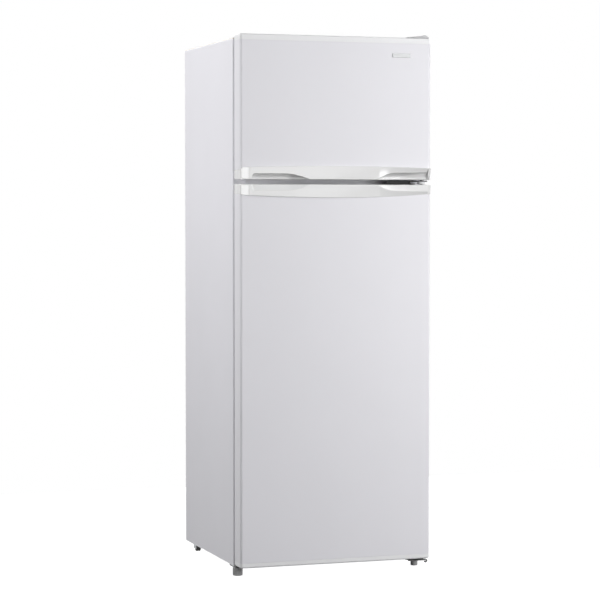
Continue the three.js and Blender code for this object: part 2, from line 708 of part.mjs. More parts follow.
// The door's plan: flat back, rounded front edges, shrunk by a margin.
function doorPlan(margin, front = 0, back = DOOR_DEPTH) {
  const half = HALF - margin;
  const radius = EDGE_RADIUS - margin;
  const face = front + margin;
  const plan = new THREE.Shape();
  plan.moveTo(half, back - margin);
  plan.lineTo(-half, back - margin);
  plan.lineTo(-half, face + radius);
  plan.absarc(-half + radius, face + radius, radius, Math.PI, 1.5 * Math.PI);
  plan.lineTo(half - radius, face);
  plan.absarc(half - radius, face + radius, radius, 1.5 * Math.PI, 2 * Math.PI);
  return plan;
}

function doorPanel(z0, z1) {
  const seam = HALF - DOOR_HEM;
  return cut(
    raise(doorPlan(0), z0, z1),
    raise(doorPlan(SHEET), z0 - 1, z1 + 1),
    box(-seam, seam, DOOR_DEPTH - 3, DOOR_DEPTH + 3, z0 - 1, z1 + 1));
}

// Raised frame on the inside of a door, drawn at its full size or shrunk by a wall.
function dyke(z0, z1, wall, back) {
  const { outer, inner, depth, sill, band } = DYKE;
  const rear = DOOR_DEPTH + depth - wall;
  const sillRear = DOOR_DEPTH + sill - wall;
  return [
    box(-outer + wall, -inner - wall, back, rear, z0 + wall, z1 - wall),
    box(inner + wall, outer - wall, back, rear, z0 + wall, z1 - wall),
    box(-outer + wall, outer - wall, back, sillRear, z0 + wall, z0 + band - wall),
    box(-outer + wall, outer - wall, back, sillRear, z1 - band + wall, z1 - wall),
  ];
}

const linerFront = DOOR_DEPTH - LINER;

function doorLiner(plate, frame) {
  const half = HALF - DOOR_HEM - GAP;
  return cut(
    join(box(-half, half, linerFront, DOOR_DEPTH, ...plate), ...dyke(...frame, 0, linerFront)),
    ...dyke(...frame, LINER, linerFront - 1));
}

function doorFoam(span, frame) {
  const core = cut(
    raise(doorPlan(SHEET + GAP), span[0], span[1]),
    box(-HALF, HALF, linerFront - GAP, DOOR_DEPTH, 0, 2000));
  return join(core, ...dyke(...frame, LINER + GAP, linerFront - 2));
}

function gasket(z0, z1) {
  const band = GASKET.outer - GASKET.inner;
  const [front, rear] = [DOOR_DEPTH + GAP, CABINET.front - GAP];
  return cut(
    box(-GASKET.outer, GASKET.outer, front, rear, z0, z1),
    box(-GASKET.inner, GASKET.inner, front - 1, rear + 1, z0 + band, z1 - band));
}

// A bin hangs between the dyke's uprights: open on top, lower wall towards the door.
function doorBin({ z, height }, depth) {
  const half = DYKE.inner - 1;
  const wall = 2.5;
  const [front, rear] = [DOOR_DEPTH + 1, DOOR_DEPTH + depth];
  const side = outline([[front, z], [rear - 8, z], [rear, z + 8], [rear, z + height],
    [front, z + height]]);
  const hollow = outline([[front + wall, z + wall], [rear - 9, z + wall],
    [rear - wall, z + 9], [rear - wall, z + height + 5], [front + wall, z + height + 5]]);
  return cut(carryAcross(side, -half, half), carryAcross(hollow, -half + wall, half - wall));
}

// The handle trim's face in front view: straight along the gap, arched on the other side.
function trimFace(edge, direction, sizes) {
  const end = edge + direction * sizes.end;
  const crown = edge + direction * (2 * sizes.middle - sizes.end);
  const face = new THREE.Shape();
  face.moveTo(-HALF, edge);
  face.lineTo(HALF, edge);
  face.lineTo(HALF, end);
  face.quadraticCurveTo(0, crown, -HALF, end);
  return face;
}

// Finger pockets, open to the front and to the gap between the doors.
const POCKET = {
  left: { from: -244, to: -78, depth: 30 },
  right: { from: 116, to: 262, depth: 24 },
};

function leftPocket(edge, direction, height) {
  const { from, to, depth } = POCKET.left;
  const shape = new THREE.Shape();
  shape.moveTo(from, edge - direction * 3);
  shape.lineTo(from, edge + direction * (height - 6));
  shape.quadraticCurveTo(from, edge + direction * height, from + 8, edge + direction * height);
  shape.bezierCurveTo(from + 80, edge + direction * height, to - 30, edge + direction * height * 0.9,
    to, edge - direction * 3);
  return carryBack(shape, -TRIM.proud - 2, depth, 10);
}

function rightPocket(edge, direction, height) {
  const { from, to, depth } = POCKET.right;
  const shape = new THREE.Shape();
  shape.moveTo(from, edge - direction * 3);
  shape.bezierCurveTo(from + 8, edge + direction * height * 0.8, from + 40,
    edge + direction * height * 0.8, to, edge + direction * height);
  shape.lineTo(to, edge - direction * 3);
  const boss = standing(HINGE.x, HINGE.y, HINGE.bush + 3, edge - 60, edge + 60, 20);
  return cut(carryBack(shape, -TRIM.proud - 2, depth, 10), boss);
}

function handleTrim(edge, direction, sizes) {
  const rows = [edge, edge + direction * TRIM.back].sort((a, b) => a - b);
  const tall = [edge - 80, edge + 80];
  const facing = common(
    carryBack(trimFace(edge, direction, sizes), -TRIM.proud, -GAP, 16),
    raise(doorPlan(0, -TRIM.proud), ...tall));
  return cut(
    join(facing, raise(doorPlan(0, -TRIM.proud), ...rows)),
    leftPocket(edge, direction, sizes.leftPocket),
    rightPocket(edge, direction, sizes.rightPocket),
    standing(HINGE.x, HINGE.y, HINGE.bush + GAP, edge - 15, edge + 15, 20));
}

// Nylon bush in the trim's hinge boss; its bore takes the mid hinge pin.
const bush = (z0, z1) => turned([[HINGE.bore, z0], [HINGE.bush, z0], [HINGE.bush, z1],
  [HINGE.bore, z1], [HINGE.bore, z0]], HINGE.x, HINGE.y, 20);

const withHingeBore = (geometry, z0, z1) =>
  cut(geometry, standing(HINGE.x, HINGE.y, HINGE.bore, z0, z1, 20));

// Freezer door
{
  const { bottom, top } = FREEZER_DOOR;
  const panel = [bottom + TRIM.back + GAP, top - CAP.top - GAP];
  const frame = [1112, top - 60];
  piece('freezer_door_panel', whitePaint(), doorPanel(...panel));
  piece('freezer_door_foam', foam(), doorFoam(panel, frame));
  piece('freezer_door_liner', linerPlastic(), doorLiner(panel, frame));
  piece('freezer_door_top_cap', whitePlastic(),
    withHingeBore(raise(doorPlan(0), top - CAP.top, top), top - 12, top + 1));
  piece('freezer_handle_trim', whitePlastic(), handleTrim(bottom, 1, FREEZER_TRIM));
  piece('freezer_hinge_bush', blackRubber(), bush(bottom, bottom + BUSH_HEIGHT));
  piece('freezer_door_gasket', greyRubber(), gasket(bottom + GASKET.inset, top - GASKET.inset));
  piece('freezer_door_lower_bin', clearPlastic(), doorBin(FREEZER_BINS[0], BIN_DEPTH.freezer));
  piece('freezer_door_upper_bin', clearPlastic(), doorBin(FREEZER_BINS[1], BIN_DEPTH.freezer));
  piece('badge', zincSteel(), box(BADGE.left, BADGE.right, -BADGE.proud, -GAP, BADGE.bottom, BADGE.top));
}

// Fridge door
{
  const { bottom, top } = FRIDGE_DOOR;
  const panel = [bottom + CAP.bottom + GAP, top - TRIM.back - GAP];
  const frame = [104, top - 62];
  piece('fridge_door_panel', whitePaint(), doorPanel(...panel));
  piece('fridge_door_foam', foam(), doorFoam(panel, frame));
  piece('fridge_door_liner', linerPlastic(), doorLiner(panel, frame));
  piece('fridge_door_bottom_cap', whitePlastic(),
    withHingeBore(raise(doorPlan(0), bottom, bottom + CAP.bottom), bottom - 1, bottom + 12));
  piece('fridge_handle_trim', whitePlastic(), handleTrim(top, -1, FRIDGE_TRIM));
  piece('fridge_hinge_bush', blackRubber(), bush(top - BUSH_HEIGHT, top));
  piece('fridge_door_gasket', greyRubber(), gasket(GASKET.bottom, top - GASKET.inset));
  piece('fridge_door_bottle_bin', clearPlastic(), doorBin(FRIDGE_BINS[0], BIN_DEPTH.fridge));
  piece('fridge_door_middle_bin', clearPlastic(), doorBin(FRIDGE_BINS[1], BIN_DEPTH.fridge));
  piece('fridge_door_upper_bin', clearPlastic(), doorBin(FRIDGE_BINS[2], BIN_DEPTH.fridge));
}

// ---- Stand the group on the floor, centred on its width and depth ----

const depthBox = new THREE.Box3().setFromObject(refrigerator);
refrigerator.position.y = -(depthBox.min.y + depthBox.max.y) / 2;

export default refrigerator;
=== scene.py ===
import bmesh
import bpy
import math
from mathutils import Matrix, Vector


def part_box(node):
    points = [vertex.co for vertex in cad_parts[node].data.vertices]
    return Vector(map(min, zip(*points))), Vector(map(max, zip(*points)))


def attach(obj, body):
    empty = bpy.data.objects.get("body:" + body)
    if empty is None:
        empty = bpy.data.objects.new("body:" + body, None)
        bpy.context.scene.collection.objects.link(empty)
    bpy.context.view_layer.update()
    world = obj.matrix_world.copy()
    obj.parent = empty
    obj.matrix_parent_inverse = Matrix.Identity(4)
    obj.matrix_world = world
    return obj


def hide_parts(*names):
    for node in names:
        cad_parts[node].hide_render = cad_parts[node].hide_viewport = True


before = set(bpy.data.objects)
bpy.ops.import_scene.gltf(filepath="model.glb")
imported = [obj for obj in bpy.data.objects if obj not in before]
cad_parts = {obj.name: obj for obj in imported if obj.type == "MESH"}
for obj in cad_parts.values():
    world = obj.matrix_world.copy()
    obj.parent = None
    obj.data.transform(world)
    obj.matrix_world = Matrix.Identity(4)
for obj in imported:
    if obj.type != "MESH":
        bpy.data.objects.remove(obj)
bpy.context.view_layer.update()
scene = bpy.context.scene
MM = 0.001
TAU = 2 * math.pi


def mm(value):
    """Millimetres to metres."""
    return value * MM


# -------- materials

GRAIN_DETAIL, PATCH_DETAIL = 2.0, 3.0
PATCH_RAMP = (0.3, 0.7)         # part of the broad noise over which the colour changes
SMOOTHEST = 0.02                # lowest roughness
COAT_ROUGHNESS = 0.12
SUBSURFACE_REACH = mm(4)


def set_inputs(node, values):
    """Sets a shader node's inputs by name."""
    for socket, value in values.items():
        node.inputs[socket].default_value = value


def add(tree, kind, values):
    """A new shader node with some of its inputs set."""
    node = tree.nodes.new("ShaderNode" + kind)
    set_inputs(node, values)
    return node


def shade(name, color, rough, metal=0.0, grain=(900, 0.00002), patch=(9, 0.03), mottle=0.04,
          coat=0.0, transmission=0.0, ior=1.5, stretch=(1, 1, 1), subsurface=0.0, specular=0.5,
          tint=None):
    """A principled material whose colour, roughness and fine relief vary over the surface.
    grain is (spots per metre, height in metres); patch is (spots per metre, colour change);
    mottle is the roughness change; tint is a second colour for the patches."""
    material = bpy.data.materials.new(name)
    material.use_nodes = True
    tree = material.node_tree
    link = tree.links.new
    bsdf = tree.nodes["Principled BSDF"]
    place = add(tree, "TexCoord", {})
    scale = add(tree, "Mapping", {"Scale": stretch})
    fine = add(tree, "TexNoise", {"Scale": grain[0], "Detail": GRAIN_DETAIL})
    broad = add(tree, "TexNoise", {"Scale": patch[0], "Detail": PATCH_DETAIL})
    ramp = add(tree, "ValToRGB", {})
    spread = add(tree, "MapRange", {"To Min": max(SMOOTHEST, rough - mottle),
                                    "To Max": min(1.0, rough + mottle)})
    bump = add(tree, "Bump", {"Distance": grain[1], "Strength": 1.0})

    low = [c * (1 - patch[1]) for c in color]
    high = [min(1.0, c * (1 + patch[1])) for c in (tint or color)]
    for element, position, value in zip(ramp.color_ramp.elements, PATCH_RAMP, (low, high)):
        element.position = position
        element.color = (*value, 1)

    link(place.outputs["Object"], scale.inputs["Vector"])
    for texture in (fine, broad):
        link(scale.outputs["Vector"], texture.inputs["Vector"])
    link(broad.outputs["Fac"], ramp.inputs["Fac"])
    link(ramp.outputs["Color"], bsdf.inputs["Base Color"])
    link(fine.outputs["Fac"], spread.inputs["Value"])
    link(spread.outputs["Result"], bsdf.inputs["Roughness"])
    link(fine.outputs["Fac"], bump.inputs["Height"])
    link(bump.outputs["Normal"], bsdf.inputs["Normal"])
    set_inputs(bsdf, {
        "Metallic": metal, "IOR": ior, "Coat Weight": coat, "Coat Roughness": COAT_ROUGHNESS,
        "Transmission Weight": transmission, "Specular IOR Level": specular,
        "Subsurface Weight": subsurface, "Subsurface Scale": SUBSURFACE_REACH})
    return material


PAINT = shade("satin_white_paint", (0.75, 0.744, 0.782), 0.4, grain=(700, 0.000012), patch=(5, 0.008),
              mottle=0.03)
SIDE_PAINT = shade("textured_white_paint", (0.785, 0.778, 0.822), 0.46, grain=(1400, 0.00003),
                   patch=(6, 0.01), mottle=0.05)
TRIM = shade("gloss_white_moulding", (0.745, 0.745, 0.745), 0.16, grain=(400, 0.000005),
             patch=(8, 0.006), mottle=0.02, coat=0.5)
CAP = shade("satin_white_moulding", (0.81, 0.812, 0.825), 0.38, grain=(1600, 0.00001),
            patch=(10, 0.01))
LINER = shade("vacuum_formed_liner", (0.83, 0.85, 0.86), 0.24, grain=(500, 0.00002),
              patch=(7, 0.012), coat=0.3)
CLEAR = shade("clear_moulding", (0.90, 0.93, 0.94), 0.09, grain=(300, 0.00002), patch=(20, 0.01),
              mottle=0.03, transmission=0.88, ior=1.49)
GLASS = shade("tempered_glass", (0.72, 0.86, 0.81), 0.04, grain=(60, 0.000008), patch=(12, 0.015),
              mottle=0.015, transmission=0.95, ior=1.5)
BULB = shade("frosted_bulb_glass", (0.93, 0.92, 0.88), 0.35, grain=(2500, 0.00002), patch=(60, 0.02),
             mottle=0.06, transmission=0.55)
COVER = shade("grey_matt_moulding", (0.53, 0.53, 0.54), 0.5, grain=(2200, 0.00004),
              patch=(60, 0.05), mottle=0.08)
DARK = shade("black_matt_moulding", (0.035, 0.036, 0.038), 0.55, grain=(2600, 0.00005),
             patch=(40, 0.12), mottle=0.1)
BLACK = shade("black_enamel", (0.014, 0.014, 0.015), 0.32, grain=(900, 0.00004), patch=(25, 0.2),
              mottle=0.1, coat=0.3, tint=(0.03, 0.03, 0.031))
MATT_BLACK = shade("matt_black_paint", (0.012, 0.012, 0.013), 0.6, grain=(1500, 0.00003),
                   patch=(40, 0.15), mottle=0.08, specular=0.2)
ZINC = shade("zinc_plated_steel", (0.50, 0.51, 0.52), 0.36, metal=0.95, grain=(2000, 0.00002),
             patch=(85, 0.16), mottle=0.12)
GALVANISED = shade("galvanised_sheet", (0.56, 0.57, 0.58), 0.46, metal=0.75, patch=(140, 0.07),
                   mottle=0.1)
COPPER = shade("drawn_copper", (0.62, 0.28, 0.14), 0.28, metal=1.0, grain=(1500, 0.00002),
               patch=(70, 0.18), mottle=0.1, stretch=(1, 1, 4))
ALUMINIUM = shade("mill_aluminium", (0.66, 0.67, 0.68), 0.34, metal=1.0, grain=(1200, 0.00002),
                  patch=(30, 0.08), mottle=0.12, stretch=(6, 1, 1))
SEAL = shade("soft_white_vinyl", (0.93, 0.93, 0.94), 0.55, grain=(1800, 0.00003), patch=(30, 0.03),
             mottle=0.08, subsurface=0.1)
RUBBER = shade("black_rubber", (0.022, 0.022, 0.022), 0.7, grain=(2400, 0.00006), patch=(90, 0.25),
               mottle=0.12)
FOOT = shade("grey_foot_moulding", (0.36, 0.36, 0.365), 0.5, grain=(2000, 0.00005),
             patch=(120, 0.12), mottle=0.1)
FOAM = shade("rigid_foam", (0.74, 0.63, 0.33), 0.9, grain=(1400, 0.0002), patch=(120, 0.12),
             mottle=0.05)
BADGE = shade("brushed_badge", (0.40, 0.405, 0.41), 0.42, metal=0.3, grain=(900, 0.00001),
              patch=(40, 0.05), mottle=0.08, stretch=(1, 1, 12))
INK = shade("grey_dial_ink", (0.16, 0.17, 0.19), 0.5, grain=(2500, 0.00001), patch=(90, 0.08))

# -------- mesh building

WELD = 1e-6                     # vertices closer than this become one
NEEDLE = mm(0.2)                # radius at which a turned profile closes
EDGE_ANGLE = 30                 # a CAD edge sharper than this many degrees gets rounded
FLAT_ANGLE = 2                  # CAD faces within this many degrees become one
ARC_STEPS = 5

AXES = {
    "z": lambda a, b, h: Vector((a, b, h)),
    "y": lambda a, b, h: Vector((a, h, b)),
    "x": lambda a, b, h: Vector((h, a, b)),
}


def box(node):
    """A CAD node's lowest and highest x, y and z."""
    lo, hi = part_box(node)
    return lo.x, hi.x, lo.y, hi.y, lo.z, hi.z


def piece(bm, name, body, materials, stands_for, crisp=32, sheet=0.0):
    """Turns a bmesh into a smooth-shaded object that rides on a body.
    stands_for is the CAD node it replaces, if any; sheet is the thickness given to an open surface."""
    bmesh.ops.remove_doubles(bm, verts=bm.verts, dist=WELD)
    bmesh.ops.recalc_face_normals(bm, faces=bm.faces)
    if sheet:
        bmesh.ops.solidify(bm, geom=bm.faces[:], thickness=sheet)
        bmesh.ops.recalc_face_normals(bm, faces=bm.faces)
    mesh = bpy.data.meshes.new(name)
    bm.to_mesh(mesh)
    bm.free()
    mesh.shade_smooth()
    mesh.set_sharp_from_angle(angle=math.radians(crisp))
    obj = bpy.data.objects.new(name, mesh)
    scene.collection.objects.link(obj)
    for material in materials:
        mesh.materials.append(material)
    weighted = obj.modifiers.new("weighted", "WEIGHTED_NORMAL")
    weighted.keep_sharp = True
    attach(obj, body)
    if stands_for:
        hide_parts(stands_for)


def paint_new(bm, count, index):
    """Gives a material index to every face after the first count of them."""
    if index:
        bm.faces.ensure_lookup_table()
        for face in bm.faces[count:]:
            face.material_index = index


def round_edges(bm, edges, radius, segments=2):
    """Rounds edges with an arc."""
    bmesh.ops.bevel(bm, geom=edges, offset=radius, segments=segments, profile=0.5,
                    affect="EDGES", clamp_overlap=True)


def bridge(bm, low, high, closed=True):
    """Quads between two rows of vertices."""
    n = len(low)
    for i in range(n if closed else n - 1):
        j = (i + 1) % n
        bm.faces.new((low[i], low[j], high[j], high[i]))


def loft(bm, rings):
    """A closed solid through a list of rings."""
    for low, high in zip(rings, rings[1:]):
        bridge(bm, low, high)
    bm.faces.new(rings[0])
    bm.faces.new(rings[-1])


def cuboid(bm, lo, hi):
    """The eight corners of a plain box."""
    lo, hi = Vector(lo), Vector(hi)
    verts = bmesh.ops.create_cube(bm, size=1.0)["verts"]
    for v in verts:
        v.co = (lo + hi) / 2 + Vector(a * b for a, b in zip(v.co, hi - lo))
    return verts


def block(bm, lo, hi, radius, segments=2, index=0):
    """A box with rounded edges."""
    count = len(bm.faces)
    verts = cuboid(bm, lo, hi)
    if radius:
        edges = dict.fromkeys(e for v in verts for e in v.link_edges)
        round_edges(bm, list(edges), radius, segments)
    paint_new(bm, count, index)


def prism(bm, outline, axis, start, end, rim):
    """An outline carried along an axis, with its two cut ends rounded."""
    put = AXES[axis]
    first = [bm.verts.new(put(a, b, start)) for a, b in outline]
    last = [bm.verts.new(put(a, b, end)) for a, b in outline]
    caps = [bm.faces.new(first), bm.faces.new(last)]
    bridge(bm, first, last)
    round_edges(bm, [e for f in caps for e in f.edges], rim)


def lathe(bm, profile, centre, axis="z", sides=40, index=0, radius_at=None):
    """A (radius, height) profile turned about an axis through centre.
    radius_at(radius, height, angle) gives a radius that changes with the angle."""
    count = len(bm.faces)
    put = AXES[axis]
    rings = []
    for r, h in profile:
        ring = []
        for k in range(sides):
            a = TAU * k / sides
            reach = radius_at(r, h, a) if radius_at else r
            ring.append(bm.verts.new(Vector(centre) + put(reach * math.cos(a), reach * math.sin(a), h)))
        rings.append(ring)
    if profile[0] == profile[-1]:
        for low, high in zip(rings, rings[1:]):
            bridge(bm, low, high)
        bmesh.ops.remove_doubles(bm, verts=rings[0] + rings[-1], dist=WELD)
    else:
        loft(bm, rings)
    paint_new(bm, count, index)


def tube(bm, points, radius, sides=10, closed=False):
    """A round wire through points."""
    points = [Vector(p) for p in points]
    n = len(points)
    side = None
    rings = []
    for i, p in enumerate(points):
        before = points[(i - 1) % n] if closed or i else p
        after = points[(i + 1) % n] if closed or i < n - 1 else p
        along = (after - before).normalized()
        if side is None:
            side = along.orthogonal().normalized()
        else:
            side = (side - along * side.dot(along)).normalized()
        up = along.cross(side)
        rings.append([bm.verts.new(p + radius * (math.cos(TAU * k / sides) * side
                                                 + math.sin(TAU * k / sides) * up))
                      for k in range(sides)])
    if closed:
        for low, high in zip(rings, rings[1:] + rings[:1]):
            bridge(bm, low, high)
    else:
        loft(bm, rings)


def rod(bm, start, end, radius, sides=10):
    """A straight round bar."""
    tube(bm, [start, end], radius, sides)


def rounded(corners, radius):
    """A polyline through corners, each replaced by an arc."""
    corners = [Vector(c) for c in corners]
    points = [corners[0]]
    for a, b, c in zip(corners, corners[1:], corners[2:]):
        into, out = (a - b).normalized(), (c - b).normalized()
        half = into.angle(out) / 2
        reach = min(radius / math.tan(half), (a - b).length / 2, (c - b).length / 2)
        start, end = b + into * reach, b + out * reach
        for k in range(ARC_STEPS + 1):
            t = k / ARC_STEPS
            points.append(start * (1 - t) ** 2 + b * 2 * t * (1 - t) + end * t ** 2)
    points.append(corners[-1])
    return points


def quarter(cx, cy, r, start, steps):
    """A quarter circle anticlockwise from start, a number of half turns."""
    angles = [math.pi * (start + 0.5 * k / steps) for k in range(steps + 1)]
    return [(cx + r * math.cos(a), cy + r * math.sin(a)) for a in angles]


def ring_sweep(bm, half, z0, z1, section):
    """A section of (outward, y) points carried round a rectangle in the x-z plane."""
    rings = []
    for sx, sz in ((1, -1), (1, 1), (-1, 1), (-1, -1)):
        rings.append([bm.verts.new((sx * (half + u), y, z1 + u if sz > 0 else z0 - u))
                      for u, y in section])
    for low, high in zip(rings, rings[1:] + rings[:1]):
        bridge(bm, low, high)


def soften(node, radius, material, segments=3):
    """Keeps a CAD node, rounds its edges and gives it a finish."""
    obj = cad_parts[node]
    for slot in obj.material_slots:
        slot.material = material
    weld = obj.modifiers.new("weld", "WELD")
    weld.merge_threshold = 10 * WELD
    flat = obj.modifiers.new("flat", "DECIMATE")
    flat.decimate_type = "DISSOLVE"
    flat.angle_limit = math.radians(FLAT_ANGLE)
    if radius:
        bevel = obj.modifiers.new("bevel", "BEVEL")
        bevel.width = radius
        bevel.segments = segments
        bevel.limit_method = "ANGLE"
        bevel.angle_limit = math.radians(EDGE_ANGLE)
        bevel.miter_outer = "MITER_ARC"
        bevel.use_clamp_overlap = True
    weighted = obj.modifiers.new("weighted", "WEIGHTED_NORMAL")
    weighted.keep_sharp = False


# -------- shared places

DOOR = box("freezer_door_panel")
HALF, FACE = DOOR[1], DOOR[2]   # half the doors' width, and the plane of their fronts
SX0, SX1, SY0, SY1, SZ0, SZ1 = box("outer_shell")
BUSH = box("freezer_hinge_bush")
PIN = Vector(((BUSH[0] + BUSH[1]) / 2, (BUSH[2] + BUSH[3]) / 2, 0))
DOOR_RADIUS = mm(7)


def door_plan(front, back, inset=0.0, steps=6):
    """Door outline seen from above: flat back, rounded front corners, left to right."""
    half = HALF - inset
    r = DOOR_RADIUS - inset
    left = quarter(r - half, front + inset + r, r, 1.0, steps)
    right = quarter(half - r, front + inset + r, r, 1.5, steps)
    return [(-half, back)] + left + right + [(half, back)]


# -------- doors: panels, caps


def door_panel(node, name, body):
    """Painted steel skin: folded top and bottom edges, and a hem turned in at the rear."""
    _, _, y0, y1, z0, z1 = box(node)
    hem, fold, overlap, corner = mm(12), mm(0.25), mm(0.2), mm(8)
    plan = [(-HALF + hem, y1)] + door_plan(y0, y1, steps=8) + [(HALF - hem, y1)]
    z0, z1 = z0 - overlap, z1 + overlap
    bm = bmesh.new()
    rows = []
    for z, inset in ((z0, fold), (z0 + fold, 0.0), (z1 - fold, 0.0), (z1, fold)):
        row = []
        for x, y in plan:
            px = x - math.copysign(inset, x) if abs(x) > HALF - corner else x
            py = y + inset if y < y0 + corner else y
            row.append(bm.verts.new((px, py, z)))
        rows.append(row)
    for low, high in zip(rows, rows[1:]):
        bridge(bm, low, high, closed=False)
    piece(bm, name, body, [PAINT], node, crisp=40, sheet=mm(0.8))


door_panel("freezer_door_panel", "freezer_door_skin", "freezer_door")
door_panel("fridge_door_panel", "fridge_door_skin", "fridge_door")


def end_cap(node, name, body, upper, crown):
    """Moulded cap closing a door's end; its arched rim stands above the face that closes it."""
    _, _, y0, y1, z0, z1 = box(node)
    base, tip, up = (z0, z1, 1) if upper else (z1, z0, -1)
    steps, rear_share = 6, 0.4  # rear_share is how much of the rim's inset the back takes
    levels = [(base, 0.0), (tip - up * crown, 0.0)]
    for k in reversed(range(steps)):
        a = math.pi / 2 * k / steps
        levels.append((tip - up * crown * (1 - math.sin(a)), crown * (1 - math.cos(a))))
    bm = bmesh.new()
    loft(bm, [[bm.verts.new((x, y, z)) for x, y in door_plan(y0, y1 - inset * rear_share, inset)]
              for z, inset in levels])
    piece(bm, name, body, [CAP], node, crisp=40)


end_cap("freezer_door_top_cap", "freezer_top_cap", "freezer_door", True, mm(3.2))
end_cap("fridge_door_bottom_cap", "fridge_bottom_cap", "fridge_door", False, mm(4.5))

# -------- doors: handle trims

# Where the finger pockets begin and end, in millimetres from the doors' middle.
LEFT_START, LEFT_FULL, LEFT_FADE, LEFT_END = -244, -236, -150, -79
RIGHT_START, RIGHT_SHALLOW, RIGHT_WALL, RIGHT_END = 117, 196, 264, 265
TRIM_HALF = 274                 # half the trim's width, in millimetres
TRIM_TURN = 270                 # where its face meets its rounded corners
TRIM_SIDE_HEIGHT = 26           # its height on the doors' sides
TRIM_CORNER = mm(4)
FACET_START, FACET_ANGLE = -250, 15.5
POCKET_ROWS = [0.0, 0.03, 0.08, 0.16, 0.28, 0.42, 0.56, 0.7, 0.8, 0.88, 0.94, 0.975, 1.0]
FACE_ROWS = [0.04, 0.12, 0.3, 0.5, 0.75, 1.0]
EDGE_ROWS = [0.3, 0.6, 0.85, 1.0]


def grow(distance, length, power=1.0):
    """Rises from 0 to 1 over a length, along a power curve."""
    return min(1.0, max(0.0, distance / length)) ** power


def left_arc(x, height):
    """Height of the left finger pocket above the gap edge, in millimetres."""
    if not LEFT_START <= x <= LEFT_END:
        return 0.0
    if x < LEFT_FULL:
        return height * math.sqrt(max(0.0, 1 - ((LEFT_FULL - x) / (LEFT_FULL - LEFT_START)) ** 2))
    bend = 1.9
    return height * (1 - grow(x - LEFT_FADE, LEFT_END - LEFT_FADE, bend))


def right_arc(x, height):
    """Height of the right finger pocket; it starts at a point and ends in a wall."""
    if not RIGHT_START <= x <= RIGHT_END:
        return 0.0
    steep_run, whole_run = 60, 138
    steep_share, bend = 0.86, 2.6
    steep = 1 - (1 - grow(x - RIGHT_START, steep_run)) ** bend
    return height * (steep_share * steep + (1 - steep_share) * grow(x - RIGHT_START, whole_run))


def pocket_depth(x, depth):
    """Depth of the finger pockets along the door, in millimetres."""
    if x < 0:
        opens, closes = 3, 50
        return depth[0] * grow(x - LEFT_START, opens, 0.6) * grow(LEFT_END - x, closes, 0.8)
    opens, closes = 26, 1.5
    lost, lost_run = 0.72, 64   # share of the depth lost towards the hinge, and over what length
    near = grow(x - RIGHT_START, opens, 0.5)
    far = 1 - lost * grow(x - RIGHT_SHALLOW, lost_run, 1.5)
    return depth[1] * near * far * grow(RIGHT_END - x, closes, 0.5)


def trim_columns(y0, y1):
    """Places along the trim and their outward directions, from the left rear to the right rear."""
    r = TRIM_CORNER
    side_steps, corner_steps = 5, 7
    fine, coarse, close = 1.0, 3.5, 8

    def turned(cx, angle):
        """A place on a rounded corner whose centre is at cx."""
        c, s = math.cos(angle), math.sin(angle)
        return Vector((cx + r * c, y0 + r + r * s)), Vector((c, s))

    columns = []
    for k in range(side_steps):
        columns.append((Vector((-HALF, y1 + (y0 + r - y1) * k / side_steps)), Vector((-1, 0))))
    for k in range(corner_steps):
        columns.append(turned(-HALF + r, math.pi * (1 + 0.5 * k / corner_steps)))
    x = -TRIM_TURN
    while x < TRIM_TURN:
        columns.append((Vector((mm(x), y0)), Vector((0, -1))))
        near = min(abs(x - end) for end in (LEFT_START, LEFT_FULL, LEFT_END, RIGHT_START, RIGHT_WALL))
        x += fine if near < close else coarse
    for k in range(corner_steps + 1):
        columns.append(turned(HALF - r, math.pi * (1.5 + 0.5 * k / corner_steps)))
    for k in range(1, side_steps + 1):
        columns.append((Vector((HALF, y0 + r + (y1 - y0 - r) * k / side_steps)), Vector((1, 0))))
    return columns


